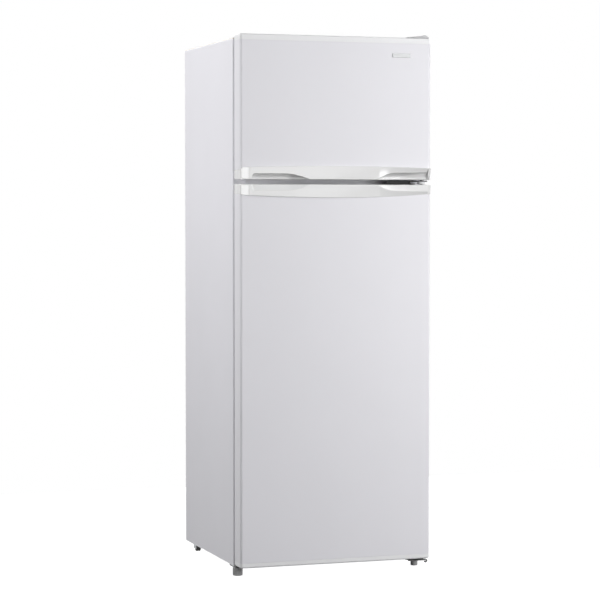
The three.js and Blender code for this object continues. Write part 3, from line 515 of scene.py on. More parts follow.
def handle_trim(node, name, body, direction, ends, middle, heights, depth, curve):
    """Moulding along the gap between the doors, with two finger pockets scooped out of it.
    direction is 1 above the gap and -1 below it. ends and middle are the face's height at its
    left and right end and its middle; heights and depth are the left and right pocket's."""
    _, _, y0, y1, z0, z1 = box(node)
    upper = direction > 0
    edge = z0 if upper else z1
    proud = FACE - y0
    start, run = (0, 264) if upper else (20, 150)   # where the face's lean starts to change
    lean, tuck_right, lean_right = 0.6, 7.0, 4.0
    least_guide, roll = 4.0, 2                      # height of the lowest rows; radius of the gap edge
    sunk_power = 0.5 if upper else 0.9
    bm = bmesh.new()
    grid = []
    for place, normal in trim_columns(y0, y1):
        x = place.x / MM
        front = grow(FACE - place.y, proud)         # 1 on the face, 0 on the sides
        reach = proud / MM * front
        end = ends[0] if x < 0 else ends[1]
        crown = end + (middle - end) * (1 - (x / TRIM_HALF) ** 2)
        top = TRIM_SIDE_HEIGHT + (crown - TRIM_SIDE_HEIGHT) * front
        pocket = left_arc(x, heights[0]) or right_arc(x, heights[1])
        scoop = pocket_depth(x, depth)
        guide = max(pocket, least_guide)
        right = grow(x - start, run)
        if upper:
            slope, tuck = lean * front * (1 - right), tuck_right * front * right
        else:
            slope, tuck = front * (lean + lean_right * right), 0.0
        slope *= grow(x - FACET_START, 10)
        lip, lip_drop = (1.0, 0.8) if front > 0.5 else (0.5, 0.3)
        shoulder = top - lip
        column = []
        for t in POCKET_ROWS:
            s = guide * t
            inset = tuck
            if pocket and s < pocket:
                inset = tuck + scoop * max(0.0, 1 - (s / pocket) ** curve) ** sunk_power
            if s < roll:
                inset += roll - math.sqrt(max(0.0, roll ** 2 - (roll - s) ** 2))
            column.append((s, inset))
        for t in FACE_ROWS:
            fall = slope * max(0.0, t - 0.1) / 0.9 + tuck * (1 - t)
            column.append((guide + (shoulder - guide) * t, fall))
        for t in EDGE_ROWS:
            column.append((shoulder + lip * t, slope + lip_drop * (1 - math.sqrt(max(0.0, 1 - t * t)))))
        column.append((top, max(slope + 1.2, reach + 0.4)))
        facet = max(0.0, FACET_START - max(x, -TRIM_TURN)) * math.tan(math.radians(FACET_ANGLE))
        line = []
        for s, inset in column:
            if front > 0:
                inset += min(facet, max(0.0, reach - 0.3 - inset))
            p = place - normal * inset * MM
            line.append(bm.verts.new((p.x, p.y, edge + direction * s * MM)))
        grid.append(line)
    for a, b in zip(grid, grid[1:]):
        for j in range(len(a) - 1):
            bm.faces.new((a[j], b[j], b[j + 1], a[j + 1]))
    bm.faces.new([line[0] for line in grid])
    bm.faces.new([line[-1] for line in grid])
    bm.faces.new(grid[0] + grid[-1][::-1])
    piece(bm, name, body, [TRIM], node, crisp=50)


handle_trim("freezer_handle_trim", "freezer_trim", "freezer_door", 1, ends=(32, 32.5), middle=36.5,
            heights=(16, 21), depth=(30, 24), curve=4.0)
handle_trim("fridge_handle_trim", "fridge_trim", "fridge_door", -1, ends=(29, 25), middle=36,
            heights=(18, 18), depth=(3.5, 4), curve=1.0)


def hinge_bush(node, name, body, direction):
    """Flanged rubber sleeve round the middle hinge pin; direction points into the door."""
    _, _, _, _, z0, z1 = box(node)
    bore, sleeve, collar = mm(4.4), mm(6.6), mm(8.6)
    edge = z0 if direction > 0 else z1
    deep = edge + direction * mm(14)
    flange = edge - direction * mm(0.7)
    bm = bmesh.new()
    lathe(bm, [(bore, deep), (sleeve, deep), (sleeve, edge), (collar, edge), (collar, flange),
               (mm(4.6), flange), (bore, deep)], PIN, sides=32)
    piece(bm, name, body, [RUBBER], node)


hinge_bush("freezer_hinge_bush", "freezer_bush", "freezer_door", 1)
hinge_bush("fridge_hinge_bush", "fridge_bush", "fridge_door", -1)

# -------- doors: gaskets, badge


def gasket(node, name, body):
    """Magnetic door seal: base strip, bellows and a flat magnet pocket."""
    _, x1, y0, y1, z0, z1 = box(node)
    deep = y1 - y0
    section = [(-0.6, 0.0), (-1.0, 0.18), (-3.2, 0.30), (-3.2, 0.42), (-1.2, 0.50), (-1.2, 0.60),
               (-2.4, 0.72), (-2.6, 1.0), (-13.4, 1.0), (-14.0, 0.86), (-13.4, 0.72), (-11.0, 0.62),
               (-12.6, 0.5), (-12.6, 0.4), (-14.6, 0.28), (-15.4, 0.12), (-15.6, 0.0)]
    bm = bmesh.new()
    ring_sweep(bm, x1, z0, z1, [(mm(u), y0 + deep * t) for u, t in section])
    piece(bm, name, body, [SEAL], node, crisp=50)


gasket("freezer_door_gasket", "freezer_seal", "freezer_door")
gasket("fridge_door_gasket", "fridge_seal", "fridge_door")


def badge():
    """Plain plate with rounded edges and nothing written on it."""
    x0, x1, y0, y1, z0, z1 = box("badge")
    bm = bmesh.new()
    block(bm, (x0, y0, z0), (x1, y1, z1), mm(0.7), segments=3)
    piece(bm, "plain_badge", "freezer_door", [BADGE], "badge")


badge()

# -------- cabinet shell


def cabinet_shell():
    """Folded steel wrap: rounded folds, returned front flange, open at the bottom and back."""
    fold, front_flange, back_flange, sheet = mm(5.2), mm(31), mm(10), mm(0.9)
    low_part = mm(40)           # flange corners below this height go down to the open bottom
    near_top = SZ1 - mm(0.1)
    bm = bmesh.new()
    cuboid(bm, (SX0, SY0, SZ0), (SX1, SY1, SZ1))

    def along(axis):
        """Edges parallel to an axis."""
        others = [i for i in range(3) if i != axis]
        return [e for e in bm.edges
                if all(abs(e.verts[0].co[i] - e.verts[1].co[i]) < WELD for i in others)]

    folds = [e for axis in (0, 1) for e in along(axis) if e.verts[0].co.z > near_top] + along(2)
    round_edges(bm, folds, fold, 6)
    gone = [f for f in bm.faces if f.normal.z < -0.9]
    front = [f for f in bm.faces if f.normal.y < -0.99]
    back = [f for f in bm.faces if f.normal.y > 0.99]
    bmesh.ops.inset_region(bm, faces=front, thickness=front_flange, use_even_offset=True)
    bmesh.ops.inset_region(bm, faces=back, thickness=back_flange, use_even_offset=True)
    for v in [v for face in front + back for v in face.verts]:
        if v.co.z < SZ0 + low_part:
            v.co.z = SZ0
    bmesh.ops.delete(bm, geom=gone + front + back, context="FACES")
    piece(bm, "cabinet_wrap", "cabinet", [SIDE_PAINT], "outer_shell", crisp=40,
          sheet=sheet)


cabinet_shell()

# -------- hinges

SCREW_SIDES = 24


def screw(bm, centre, axis, out, radius, index=0):
    """A cross-recess pan head screw; out is +1 or -1 along the axis."""
    h = radius * 0.55 * out
    profile = [(radius, 0.0), (radius * 0.96, h * 0.45), (radius * 0.72, h * 0.86),
               (radius * 0.36, h), (radius * 0.3, h * 0.55), (NEEDLE, h * 0.5)]
    lathe(bm, profile, centre, axis, SCREW_SIDES, index)


def top_hinge():
    """Bent steel bracket on the cabinet's top, with the pin that the freezer door hangs on."""
    x0, x1, y0, y1, z0, z1 = box("top_hinge_bracket")
    seat = SZ1 + mm(0.3)
    sheet, round_off = mm(2.5), mm(0.8)
    step = SY0 + mm(10)
    roof = z1 - mm(2.2)
    arm = PIN.x - mm(16)
    bm = bmesh.new()
    block(bm, (x0, step, seat), (x1, y1, seat + sheet), round_off)
    block(bm, (arm, step, seat), (x1, step + sheet, z1), round_off)
    block(bm, (arm, y0, roof), (x1, step + sheet, z1), round_off)
    lathe(bm, [(mm(3), z0), (mm(4), z0 + mm(1)), (mm(4), roof + mm(1))], PIN)
    for x in (x0 + mm(9), x1 - mm(9)):
        screw(bm, (x, y1 - mm(12), seat + sheet), "z", 1, mm(4.2))
    piece(bm, "top_hinge_plate", "cabinet", [ZINC], "top_hinge_bracket")


top_hinge()


def top_cover():
    """Sloped grey cover over the top hinge, with a step down onto the cabinet."""
    x0, x1, y0, y1, z0, z1 = box("top_hinge_cover")
    shoulder = z1 - mm(6.8)
    step = SY0 + mm(2)
    door_top = box("freezer_door_top_cap")[5]

    def profile(base):
        """Ramp up from the left, a short crest, a steep fall on the right."""
        return [(x0, base), (x0, shoulder - mm(0.4)), (x0 + mm(1), shoulder + mm(0.2)),
                (x0 + mm(22), shoulder + mm(2.6)), (x0 + mm(43), shoulder + mm(4.4)),
                (x0 + mm(49), z1), (x1 - mm(11), z1),
                (x1 - mm(8.6), z1 - mm(0.8)), (x1 - mm(0.6), shoulder + mm(0.8)),
                (x1, shoulder - mm(0.4)), (x1, base)]

    bm = bmesh.new()
    prism(bm, profile(door_top + mm(0.8)), "y", y0, step, rim=mm(0.4))
    prism(bm, profile(SZ1 + mm(0.3)), "y", step - mm(1), y1, rim=mm(1.0))
    ribs, rib_pitch, rib_inset = 3, 7, mm(14)
    for k in range(ribs):
        x = x0 + mm(12 + rib_pitch * k)
        block(bm, (x, y0 + rib_inset, z0 + mm(6)), (x + mm(1), y1 - rib_inset, z0 + mm(7)), 0)
    screw(bm, ((x0 + x1) / 2 + mm(8), y1 - mm(16), z1), "z", -1, mm(4), 1)
    piece(bm, "top_hinge_hood", "cabinet", [COVER, ZINC], "top_hinge_cover")


top_cover()


def mid_hinge():
    """Channel-shaped bracket in the gap: top leg to the pin, front wall, short bottom leg."""
    x0, x1, _, _, z0, z1 = box("mid_hinge_bracket")
    middle = (z0 + z1) / 2
    top, low = middle + mm(4.8), middle - mm(5.0)
    rear = SY0 - mm(0.3)
    front = FACE + mm(12)
    wall_end, nose = mm(228), mm(262)
    bm = bmesh.new()
    plan = [(x0 + mm(28), rear), (x0, front + mm(7)), (wall_end, front + mm(4)), (mm(240), front),
            (nose, front), (x1 - mm(2), front + mm(3)), (x1, front + mm(8)), (x1, front + mm(28)),
            (nose, rear)]
    prism(bm, plan, "z", top - mm(2.6), top, rim=mm(0.5))
    foot_plan = [(x0, front + mm(7)), (wall_end, front + mm(5)), (mm(236), front + mm(9)),
                 (mm(232), front + mm(20)), (x0 + mm(6), front + mm(20))]
    prism(bm, foot_plan, "z", low, low + mm(2.4), rim=mm(0.5))
    block(bm, (x0, front + mm(7.4), low), (mm(220), front + mm(10), top), mm(0.8))
    block(bm, (x0 + mm(30), rear - mm(3), middle - mm(6)), (wall_end, rear, middle + mm(6)), mm(0.8))
    pin, collar, collar_top = mm(4), mm(11), top - mm(2.5)
    lathe(bm, [(pin, low), (mm(10.4), low), (collar, low + mm(0.6)), (collar, collar_top),
               (pin, collar_top)], PIN, sides=32, index=1)
    lathe(bm, [(mm(3), z0), (pin, z0 + mm(1)), (pin, z1 - mm(1)), (mm(3), z1)], PIN, sides=24)
    for x in (x0 + mm(40), x0 + mm(66)):
        screw(bm, (x, rear - mm(3), middle), "y", -1, mm(4.6))
    piece(bm, "mid_hinge_plate", "cabinet", [MATT_BLACK, CAP], "mid_hinge_bracket")


mid_hinge()


def bottom_hinge():
    """Plate under the cabinet's front, with the fridge door's pin and a bent stop at its right end."""
    x0, x1, y0, y1, z0, z1 = box("bottom_hinge_bracket")
    top = z0 + mm(3)
    boss, pin = mm(9), mm(4)
    bm = bmesh.new()
    plan = [(x0 + mm(12), FACE + mm(13)), (mm(262), y0 + mm(1)), (mm(267), y0), (mm(271), y0 + mm(3)),
            (x1, y0 + mm(9)), (x1, y1), (mm(228), y1), (x0, FACE + mm(60))]
    prism(bm, plan, "z", z0, top, rim=mm(0.6))
    lathe(bm, [(boss, top - mm(1)), (boss, top + mm(3)), (pin, top + mm(3)),
               (pin, z1 - mm(1)), (mm(3), z1)], PIN, sides=32)
    stop = [(x1 - mm(3), 12, 1), (x1 - mm(3), 12, -2), (x1 - mm(6), 11, -4.5), (x1 - mm(10), 10, -3)]
    tube(bm, [(x, FACE + mm(y), z0 + mm(z)) for x, y, z in stop], mm(2.4), 12)
    for x, y in ((x0 + mm(14), FACE + mm(26)), (mm(240), FACE + mm(96)), (mm(262), FACE + mm(96))):
        screw(bm, (x, y, z0), "z", -1, mm(4.6))
    piece(bm, "bottom_hinge_plate", "cabinet", [BLACK], "bottom_hinge_bracket")


bottom_hinge()


def left_plate():
    """Plate under the cabinet's front left corner that the left foot screws into."""
    x0, x1, y0, y1, z0, z1 = box("left_foot_bracket")
    bm = bmesh.new()
    plan = [(x0, y0), (x1 - mm(8), y0), (x1 - mm(4), y0 + mm(4)), (x1, y1), (x0, y1)]
    prism(bm, plan, "z", z0, z1, rim=mm(0.6))
    for x, y in ((x1 - mm(14), y0 + mm(12)), (x1 - mm(12), y1 - mm(12)), (x0 + mm(9), y1 - mm(10))):
        screw(bm, (x, y, z0), "z", -1, mm(4.2))
    piece(bm, "left_foot_plate", "cabinet", [BLACK], "left_foot_bracket")


left_plate()

# -------- feet and rollers


def foot(node, ribs):
    """Ribbed levelling foot on a threaded stud."""
    x0, x1, y0, y1, _, z1 = box(node)
    r = (x1 - x0) / 2
    centre = ((x0 + x1) / 2, (y0 + y1) / 2, 0)
    head, rib_depth = mm(22.7), mm(1.3)
    root, crest, pitch = mm(2.9), mm(3.5), mm(1.2)
    profile = [(r - mm(2.2), 0.0), (r - mm(0.8), mm(0.5)), (r, mm(2)), (r, mm(5)),
               (r, head - mm(3)), (r - mm(0.6), head - mm(1)), (r - mm(2), head), (crest, head)]

    def ribbed(radius, height, angle):
        """Cuts grooves into the foot's side."""
        if mm(2) < height < head - mm(2) and radius > r - mm(1):
            return radius - rib_depth * (0.5 - 0.5 * math.cos(ribs * angle))
        return radius

    bm = bmesh.new()
    lathe(bm, profile, centre, "z", ribs * 6, radius_at=ribbed)
    thread = []
    z = head
    while z < z1 - pitch:
        thread += [(root, z), (crest, z + pitch / 2)]
        z += pitch
    lathe(bm, thread + [(mm(2.6), z1)], centre, "z", 20, 1)
    piece(bm, node.replace("levelling_foot", "ribbed_foot"), node, [FOOT, ZINC], node,
          crisp=45)


foot("left_levelling_foot", 22)
foot("right_levelling_foot", 18)


def roller(node):
    """Moulded wheel with a hub, a recessed web and six spokes."""
    x0, x1, y0, y1, z0, z1 = box(node)
    r = (z1 - z0) / 2
    w = x1 - x0
    cy, cz = (y0 + y1) / 2, (z0 + z1) / 2
    bore, hub, tread = mm(3.4), mm(5.4), r * 0.965
    profile = [(bore, 0), (hub, 0), (mm(5.8), w * 0.14), (r * 0.72, w * 0.16),
               (r * 0.76, 0.0), (r * 0.94, 0.0), (r, w * 0.1), (r, w * 0.3), (tread, w * 0.36),
               (tread, w * 0.64), (r, w * 0.7), (r, w * 0.9), (r * 0.94, w), (r * 0.76, w),
               (r * 0.72, w * 0.84), (mm(5.8), w * 0.86), (hub, w), (bore, w), (bore, 0)]
    bm = bmesh.new()
    lathe(bm, [(a, x0 + b) for a, b in profile], (0, cy, cz), "x", 40)
    spokes, spoke_at, spoke_half, inset = 6, r * 0.56, mm(0.9), w * 0.1
    for k in range(spokes):
        a = TAU * k / spokes
        y, z = cy + spoke_at * math.cos(a), cz + spoke_at * math.sin(a)
        block(bm, (x0 + inset, y - spoke_half, z - spoke_half),
              (x1 - inset, y + spoke_half, z + spoke_half), mm(0.4))
    piece(bm, node + "_wheel", node, [RUBBER], node)


roller("left_roller")
roller("right_roller")

# -------- shelves, bins, drawer


def round_rect(x0, x1, y0, y1, radii):
    """Rectangle with a radius at each corner: front left, front right, back right, back left."""
    points = []
    spots = ((x0, y0, 1, 1, 1.0), (x1, y0, -1, 1, 1.5), (x1, y1, -1, -1, 0.0), (x0, y1, 1, -1, 0.5))
    for (x, y, sx, sy, start), r in zip(spots, radii):
        points += quarter(x + sx * r, y + sy * r, r, start, ARC_STEPS)
    return points


def tray(bm, x0, x1, y0, y1, z0, z1, wall, radii, draft):
    """An open container with drafted walls and a rolled rim."""
    rim, base, least_radius = mm(1.6), mm(3), mm(0.5)

    def ring(inset, z):
        """One level of the container, drawn in from its outer size."""
        corner_radii = [max(least_radius, r - inset) for r in radii]
        outline = round_rect(x0 + inset, x1 - inset, y0 + inset, y1 - inset, corner_radii)
        return [bm.verts.new((x, y, z)) for x, y in outline]

    loft(bm, [ring(draft + base * 0.6, z0), ring(draft + base * 0.15, z0 + base * 0.4),
              ring(draft, z0 + base), ring(rim, z1 - mm(5)), ring(rim * 0.2, z1 - mm(4.4)),
              ring(0.0, z1 - mm(3.4)), ring(0.0, z1 - mm(0.6)), ring(mm(0.6), z1),
              ring(rim + wall - mm(0.6), z1), ring(rim + wall, z1 - mm(0.8)),
              ring(draft + wall, z0 + base + wall), ring(draft + wall + base * 0.6, z0 + wall)])


def door_bin(node, name):
    """Clear bin hung on the door liner, with ribs in its floor and a white rear strip."""
    x0, x1, y0, y1, z0, z1 = box(node)
    bm = bmesh.new()
    tray(bm, x0, x1, y0, y1, z0, z1, mm(2.2), [mm(3), mm(3), mm(20), mm(20)], mm(3.5))
    ribs, first, half = 9, mm(38), mm(0.9)
    for k in range(ribs):
        x = x0 + first + (x1 - x0 - 2 * first) * k / (ribs - 1)
        block(bm, (x - half, y0 + mm(12), z0 + mm(2)), (x + half, y1 - mm(26), z0 + mm(3.2)), mm(0.4))
    block(bm, (x0 + mm(24), y1 - mm(1.8), z1 - mm(14)), (x1 - mm(24), y1 - mm(0.2), z1 - mm(8)),
          mm(0.7), index=1)
    piece(bm, name, "freezer_door" if "freezer" in node else "fridge_door", [CLEAR, CAP], node,
          crisp=40)


door_bin("freezer_door_lower_bin", "freezer_bin_lower")
door_bin("freezer_door_upper_bin", "freezer_bin_upper")
door_bin("fridge_door_bottle_bin", "fridge_bin_bottles")
door_bin("fridge_door_middle_bin", "fridge_bin_middle")
door_bin("fridge_door_upper_bin", "fridge_bin_upper")


def crisper():
    """Clear drawer with a grip along the top of its front."""
    x0, x1, y0, y1, z0, z1 = box("crisper_drawer")
    front = y0 + mm(5)
    grip_half, grip_rear, grip_low = mm(78), front + mm(3), z1 - mm(25)
    bm = bmesh.new()
    tray(bm, x0, x1, front, y1, z0, z1, mm(2.4), [mm(14), mm(14), mm(22), mm(22)], mm(5))
    grip = [(y0 + mm(0.6), grip_low), (y0, z1 - mm(18)), (y0 + mm(2), z1 - mm(14)),
            (grip_rear, z1 - mm(13)), (grip_rear, grip_low)]
    prism(bm, grip, "x", -grip_half, grip_half, rim=mm(1.5))
    piece(bm, "crisper_bin", "crisper_drawer", [CLEAR], "crisper_drawer", crisp=40)


crisper()


def glass_shelf(node, name):
    """Glass pane in a moulded front nose and back rail."""
    x0, x1, y0, y1, z0, z1 = box(node)
    pane, pane_thick = z0 + mm(5.2), mm(3.6)
    nose_rear = y0 + mm(13.6)
    bm = bmesh.new()
    block(bm, (x0 + mm(1), y0 + mm(7), pane), (x1 - mm(1), y1 - mm(4), pane + pane_thick), mm(0.6),
          index=1)
    nose = [(y0 + mm(5), z0 + mm(0.4)), (y0 + mm(1), z0 + mm(2.4)), (y0, z0 + mm(6)),
            (y0 + mm(0.8), z1 - mm(2)), (y0 + mm(3.4), z1 - mm(0.3)), (y0 + mm(7), z1),
            (nose_rear, pane + mm(4.2)), (nose_rear, pane - mm(0.6)), (y0 + mm(8), z0 + mm(1.2))]
    prism(bm, nose, "x", x0, x1, rim=mm(0.8))
    block(bm, (x0, y1 - mm(9), pane - mm(0.8)), (x1, y1, pane + mm(5)), mm(1.2))
    piece(bm, name, "cabinet", [CAP, GLASS], node, crisp=40)


glass_shelf("upper_glass_shelf", "glass_shelf_upper")
glass_shelf("lower_glass_shelf", "glass_shelf_lower")
glass_shelf("crisper_cover", "crisper_lid")


def wire_shelf():
    """White coated wire shelf of the freezer compartment."""
    x0, x1, y0, y1, z0, z1 = box("freezer_shelf")
    thick, cross, thin = mm(2.6), mm(2.2), mm(1.35)
    bays, inset = 34, mm(70)
    low = z0 + thick
    corners = [(x1 - thick, y0 + thick, low), (x1 - thick, y1 - thick, low),
               (x0 + thick, y1 - thick, low), (x0 + thick, y0 + thick, low)]
    middle = (0, y0 + thick, low)
    path = rounded([middle] + corners + [middle], mm(14))
    bm = bmesh.new()
    tube(bm, path[:-1], thick, closed=True)
    for y in (y0 + inset, (y0 + y1) / 2, y1 - inset):
        rod(bm, (x0 + thick, y, low), (x1 - thick, y, low), cross)
    for k in range(1, bays):
        x = x0 + (x1 - x0) * k / bays
        rod(bm, (x, y0 + thick, z1 - thin), (x, y1 - thick, z1 - thin), thin, 8)
    piece(bm, "freezer_wire_shelf", "cabinet", [CAP], "freezer_shelf", crisp=50)


wire_shelf()

# -------- controls


def knob():
    """Ribbed thermostat knob with a raised grip and a dark pointer line."""
    x0, x1, y0, y1, z0, z1 = box("thermostat_knob")
    r = (x1 - x0) / 2
    cx, cz = (x0 + x1) / 2, (z0 + z1) / 2
    centre = (cx, 0, cz)
    face, rear = y0 + mm(7), y0 + mm(21.7)
    grip_half, tip_half, line_half = mm(3), mm(2.2), mm(0.6)
    flutes, flute_depth = 30, mm(0.5)

    def gripped(radius, height, angle):
        """Cuts flutes into the knob's side."""
        if radius > r * 0.93:
            return radius - flute_depth * (0.5 - 0.5 * math.cos(flutes * angle))
        return radius

    bm = bmesh.new()
    lathe(bm, [(r * 0.82, rear), (r, rear - mm(1)), (r, face + mm(5)), (r * 0.95, face + mm(1.6)),
               (r * 0.86, face)], centre, "y", 4 * flutes, radius_at=gripped)
    grip = [(-grip_half, z0 + mm(2) - cz), (grip_half, z0 + mm(2) - cz), (tip_half, r - mm(1.6)),
            (0, r - mm(0.6)), (-tip_half, r - mm(1.6))]
    prism(bm, [(cx + a, cz + b) for a, b in grip], "y", y0 + mm(0.3), face + mm(1), rim=mm(0.8))
    block(bm, (cx - line_half, y0 + mm(0.1), cz + mm(6)),
          (cx + line_half, y0 + mm(0.6), cz + r - mm(2.6)), 0, index=1)
    lathe(bm, [(mm(3), rear - mm(1)), (mm(3), y1)], centre, "y", 20)
    piece(bm, "dial_knob", "thermostat_knob", [CAP, INK], "thermostat_knob", crisp=40)


knob()


def dial_marks():
    """Scale round the knob: longer and shorter bars in an arc, where the housing has room for them."""
    x0, x1, _, _, z0, z1 = box("thermostat_knob")
    _, _, face, _, _, housing_top = box("control_housing")
    centre = Vector(((x0 + x1) / 2, 0, (z0 + z1) / 2))
    marks, swing = 9, 270
    start, long_end, short_end, half = mm(19.6), mm(22.8), mm(21.4), mm(0.5)
    bm = bmesh.new()
    for k in range(marks):
        a = math.radians(swing * (k / (marks - 1) - 0.5))
        out = Vector((math.sin(a), 0, math.cos(a)))
        side = Vector((out.z, 0, -out.x)) * half
        near, far = centre + out * start, centre + out * (short_end if k % 2 else long_end)
        if far.z > housing_top - mm(1.5):
            continue
        base = [near - side, near + side, far + side, far - side]
        loft(bm, [[bm.verts.new((p.x, y, p.z)) for p in base] for y in (face - mm(0.15), face + mm(0.3))])
    piece(bm, "dial_scale", "cabinet", [INK], None)


dial_marks()


def lens():
    """Clear lamp cover with ribs across its underside."""
    x0, x1, y0, y1, z0, z1 = box("lamp_lens")
    ribs, margin, half = 22, mm(3), mm(1.1)
    bm = bmesh.new()
    block(bm, (x0, y0, z0 + mm(0.6)), (x1, y1, z1), mm(0.3))
    for k in range(ribs):
        y = y0 + margin + (y1 - y0 - 2 * margin) * (k + 0.5) / ribs
        block(bm, (x0 + margin, y - half, z0), (x1 - margin, y + half, z0 + mm(0.9)), mm(0.4))
    piece(bm, "ribbed_lens", "cabinet", [CLEAR], "lamp_lens", crisp=40)


lens()

# -------- rear: coil, compressor, fixings


def condenser_wires():
    """Fine vertical wires spot-welded to both sides of the condenser tube."""
    tube_y = box("condenser_coil")[3] - mm(2.5)
    wires, half_width, bottom, top = 46, 212, mm(288), mm(1318)
    thin, offset = mm(0.8), mm(1.44)
    bm = bmesh.new()
    for k in range(wires):
        x = mm(2 * half_width * (k / (wires - 1) - 0.5))
        y = tube_y + (offset if k % 2 else -offset)
        rod(bm, (x, y, bottom), (x, y, top), thin, 6)
    piece(bm, "condenser_wire_grid", "cabinet", [MATT_BLACK], None, crisp=50)


condenser_wires()


def compressor():
    """Welded two-part can on a base plate with four rubber mounts and their nuts."""
    x0, x1, y0, y1, z0, z1 = box("compressor")
    cx, cy = (x0 + x1) / 2, (y0 + y1) / 2
    r = mm(70)
    bottom = z0 + mm(18)
    seam = bottom + mm(74)
    plate_half, plate_low, plate_high = mm(56), bottom - mm(6), bottom - mm(3)
    mount_x, mount_y, nut = mm(84), mm(44), mm(4.6)
    profile = [(NEEDLE, bottom), (r * 0.62, bottom), (r * 0.84, bottom + mm(5)),
               (r * 0.94, bottom + mm(14)), (r * 0.965, bottom + mm(28)), (r * 0.965, seam - mm(4)),
               (r, seam - mm(3)), (r, seam + mm(3)), (r * 0.95, seam + mm(4)),
               (r * 0.95, z1 - mm(34)), (r * 0.92, z1 - mm(20)), (r * 0.82, z1 - mm(9)),
               (r * 0.62, z1 - mm(3)), (r * 0.3, z1 - mm(0.6)), (NEEDLE, z1)]
    bm = bmesh.new()
    lathe(bm, profile, (cx, cy, 0), "z", 56)
    block(bm, (x0, cy - plate_half, plate_low), (x1, cy + plate_half, plate_high), mm(1.2))
    for px, py in [(cx + sx * mount_x, cy + sy * mount_y) for sx in (-1, 1) for sy in (-1, 1)]:
        lathe(bm, [(mm(3.5), z0), (mm(8.6), z0), (mm(9), z0 + mm(3)), (mm(7), z0 + mm(7)),
                   (mm(9), z0 + mm(11)), (mm(8), plate_low)], (px, py, 0), "z", 24, 1)
        lathe(bm, [(mm(7), plate_high), (mm(7), bottom - mm(2)), (nut, bottom - mm(2)),
                   (nut, bottom + mm(1.6)), (NEEDLE, bottom + mm(2))], (px, py, 0), "z", 6, 2)
    piece(bm, "compressor_can", "cabinet", [BLACK, RUBBER, ZINC], "compressor", crisp=38)


compressor()


def fixings():
    """Screws up both sides of the back panel and along its lower edge."""
    x0, x1, _, y1, z0, z1 = box("back_panel")
    rows, end_gap, side_gap = 6, mm(24), mm(5)
    bm = bmesh.new()
    for k in range(rows):
        z = z0 + end_gap + (z1 - z0 - 2 * end_gap) * k / (rows - 1)
        for x in (x0 + side_gap, x1 - side_gap):
            screw(bm, (x, y1 + mm(1.2), z), "y", 1, mm(3.2))
    for x in (-200, -70, 70, 200):
        screw(bm, (mm(x), y1, z0 + mm(8)), "y", 1, mm(3.6))
    piece(bm, "back_screws", "cabinet", [ZINC], None)


fixings()


def small_pipes():
    """Coiled capillary, the drier's inlet pipe, and the suction pipe rising into the cabinet."""
    x0, x1, y0, y1, z0, z1 = box("filter_drier")
    rise = box("back_panel")[4] + mm(1.5)
    y, z = (y0 + y1) / 2, (z0 + z1) / 2
    turns, steps, radius, shift = 2, 48, mm(13), mm(3)
    coil = Vector((x1 + mm(20), y, z + mm(14)))
    path = [(x1 - mm(2), y, z), (x1 + mm(8), y, z)]
    for k in range(steps + 1):
        a = TAU * turns * k / steps - math.pi / 2
        path.append((coil.x + radius * math.cos(a), y + shift * (2 * k / steps - 1),
                     coil.z + radius * math.sin(a)))
    path += [(coil.x + mm(14), y + shift, z + mm(4)), (coil.x + mm(20), y + shift, z + mm(22)),
             (coil.x + mm(20), y + shift, rise)]
    bm = bmesh.new()
    tube(bm, path, mm(1.1), 8)
    rod(bm, (x0 + mm(2), y, z), (x0 - mm(22), y, z), mm(2.8), 12)
    can = box("compressor")
    cx, cy = (can[0] + can[1]) / 2, (can[2] + can[3]) / 2
    outlet, far, rear = mm(120), cx - mm(112), cy + mm(57)
    suction = [(cx - mm(46), cy + mm(44), outlet), (cx - mm(62), rear, outlet), (far, rear, outlet),
               (far, rear, rise)]
    tube(bm, rounded(suction, mm(12)), mm(3.2), 12)
    piece(bm, "copper_lines", "cabinet", [COPPER], None, crisp=50)


small_pipes()


def inlet_pins():
    """Three flat pins of the mains inlet."""
    x0, x1, _, y1, _, _ = box("mains_inlet")
    cx = (x0 + x1) / 2
    height, half_wide, half_high = 52, 0.7, 1.4
    bm = bmesh.new()
    for dx, dz in ((-3.2, -1.6), (3.2, -1.6), (0, 2.6)):
        block(bm, (cx + mm(dx - half_wide), y1 - mm(1.5), mm(height + dz - half_high)),
              (cx + mm(dx + half_wide), y1 + mm(0.4), mm(height + dz + half_high)), mm(0.3))
    piece(bm, "inlet_pins", "cabinet", [ZINC], None)


inlet_pins()

# -------- carried-over CAD nodes

for node, radius, material in (
        ("back_panel", 0, GALVANISED), ("underside_panel", 0, GALVANISED),
        ("center_rail", 0.3, PAINT), ("base_frame", 0.3, GALVANISED),
        ("compressor_tray", 0.3, GALVANISED), ("freezer_liner", 1.2, LINER),
        ("fridge_liner", 1.2, LINER), ("insulation_foam", 0, FOAM),
        ("freezer_door_foam", 0, FOAM), ("fridge_door_foam", 0, FOAM),
        ("drain_spout", 0.3, CAP), ("drain_pan", 1.0, DARK), ("terminal_cover", 3.0, DARK),
        ("mains_inlet", 0.8, DARK), ("fan_motor", 0.8, DARK), ("filter_drier", 0.8, COPPER),
        ("evaporator_coil", 0, ALUMINIUM), ("evaporator_cover", 0.6, LINER),
        ("evaporator_fan", 0.3, CAP), ("control_housing", 2.0, CAP),
        ("door_switch_housing", 1.2, CAP), ("door_switch_plunger", 0.8, CAP),
        ("lamp_bulb", 0, BULB), ("condenser_coil", 0, BLACK)):
    soften(node, mm(radius), material)
for node in ("freezer_door_liner", "fridge_door_liner"):
    soften(node, mm(2.0), LINER, segments=2)

# -------- stage, light, camera


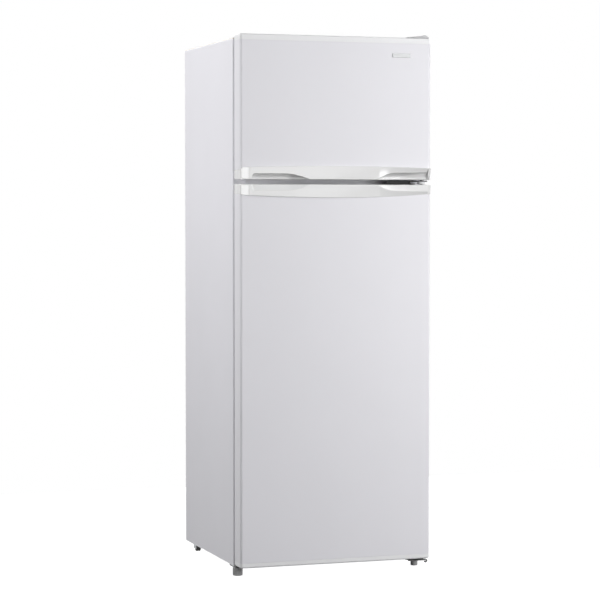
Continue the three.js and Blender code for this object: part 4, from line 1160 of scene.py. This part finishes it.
def pale_floor():
    """Pale floor that glows by itself and neither lights nor mirrors in the object."""
    x0, x1, y0, y1 = -2.4, 2.4, -3.4, 1.6
    pale = shade("pale_floor", (0.55, 0.55, 0.55), 0.8, grain=(30, 0.0001), patch=(0.7, 0.004))
    set_inputs(pale.node_tree.nodes["Principled BSDF"], {
        "Emission Color": (1, 1, 1, 1), "Emission Strength": 0.93, "Specular IOR Level": 0.0})
    ground = bpy.data.meshes.new("floor")
    ground.from_pydata([(x0, y0, 0), (x1, y0, 0), (x1, y1, 0), (x0, y1, 0)], [], [(0, 1, 2, 3)])
    ground.materials.append(pale)
    floor = bpy.data.objects.new("floor", ground)
    scene.collection.objects.link(floor)
    floor.visible_diffuse = False
    floor.visible_glossy = False


pale_floor()

world = bpy.data.worlds.new("studio")
scene.world = world
world.use_nodes = True
set_inputs(world.node_tree.nodes["Background"], {"Color": (1, 1, 1, 1), "Strength": 1.0})
world.cycles_visibility.diffuse = False


def softbox(name, location, target, size, power, sheen_only=False):
    """A square light aimed at a target; a sheen light shows only in reflections."""
    light = bpy.data.lights.new(name, "AREA")
    light.shape = "SQUARE"
    light.size = size
    light.energy = power
    obj = bpy.data.objects.new(name, light)
    obj.location = location
    obj.rotation_euler = (Vector(target) - Vector(location)).to_track_quat("-Z", "Y").to_euler()
    obj.visible_camera = False
    obj.visible_diffuse = not sheen_only
    scene.collection.objects.link(obj)


softbox("right_high", (2.2, -2.6, 2.7), (0, 0, 1.0), 1.8, 50)
softbox("right_low", (2.2, -2.8, 0.8), (0, 0, 0.6), 1.6, 64)
softbox("front", (0.6, -5.2, 1.7), (0, 0, 0.8), 2.7, 49)
softbox("left_low", (-2.8, -0.4, 0.95), (0, 0, 0.8), 1.4, 27)
softbox("left_near", (-1.4, -0.1, 1.5), (-0.3, 0, 1.0), 1.0, 6.2)
softbox("behind_left", (-1.2, 1.8, 2.6), (-0.3, 0, 1.0), 1.4, 29.5)
softbox("corner_sheen", (-1.1, -3.7, 1.13), (-0.26, -0.28, 1.08), 0.6, 8, sheen_only=True)
softbox("trim_sheen", (0.85, -4.1, 1.14), (-0.22, -0.28, 1.08), 0.9, 1.5, sheen_only=True)
softbox("behind", (1.2, 3.4, 1.9), (0.1, 0.2, 0.7), 2.0, 62)

scene.view_settings.view_transform = "Standard"


def photo_camera():
    """Camera at the photograph's viewing angle: in front, to the left, turned right and a little down."""
    look_down, turn_right = 2.442, 18.653
    eye = bpy.data.cameras.new("camera")
    eye.sensor_width = 36
    eye.lens = 126.567
    camera = bpy.data.objects.new("camera", eye)
    scene.collection.objects.link(camera)
    camera.location = (-1.9273, FACE - 5.3967, 0.9952)
    camera.rotation_euler = (math.radians(90 - look_down), 0, math.radians(-turn_right))
    scene.camera = camera


photo_camera()
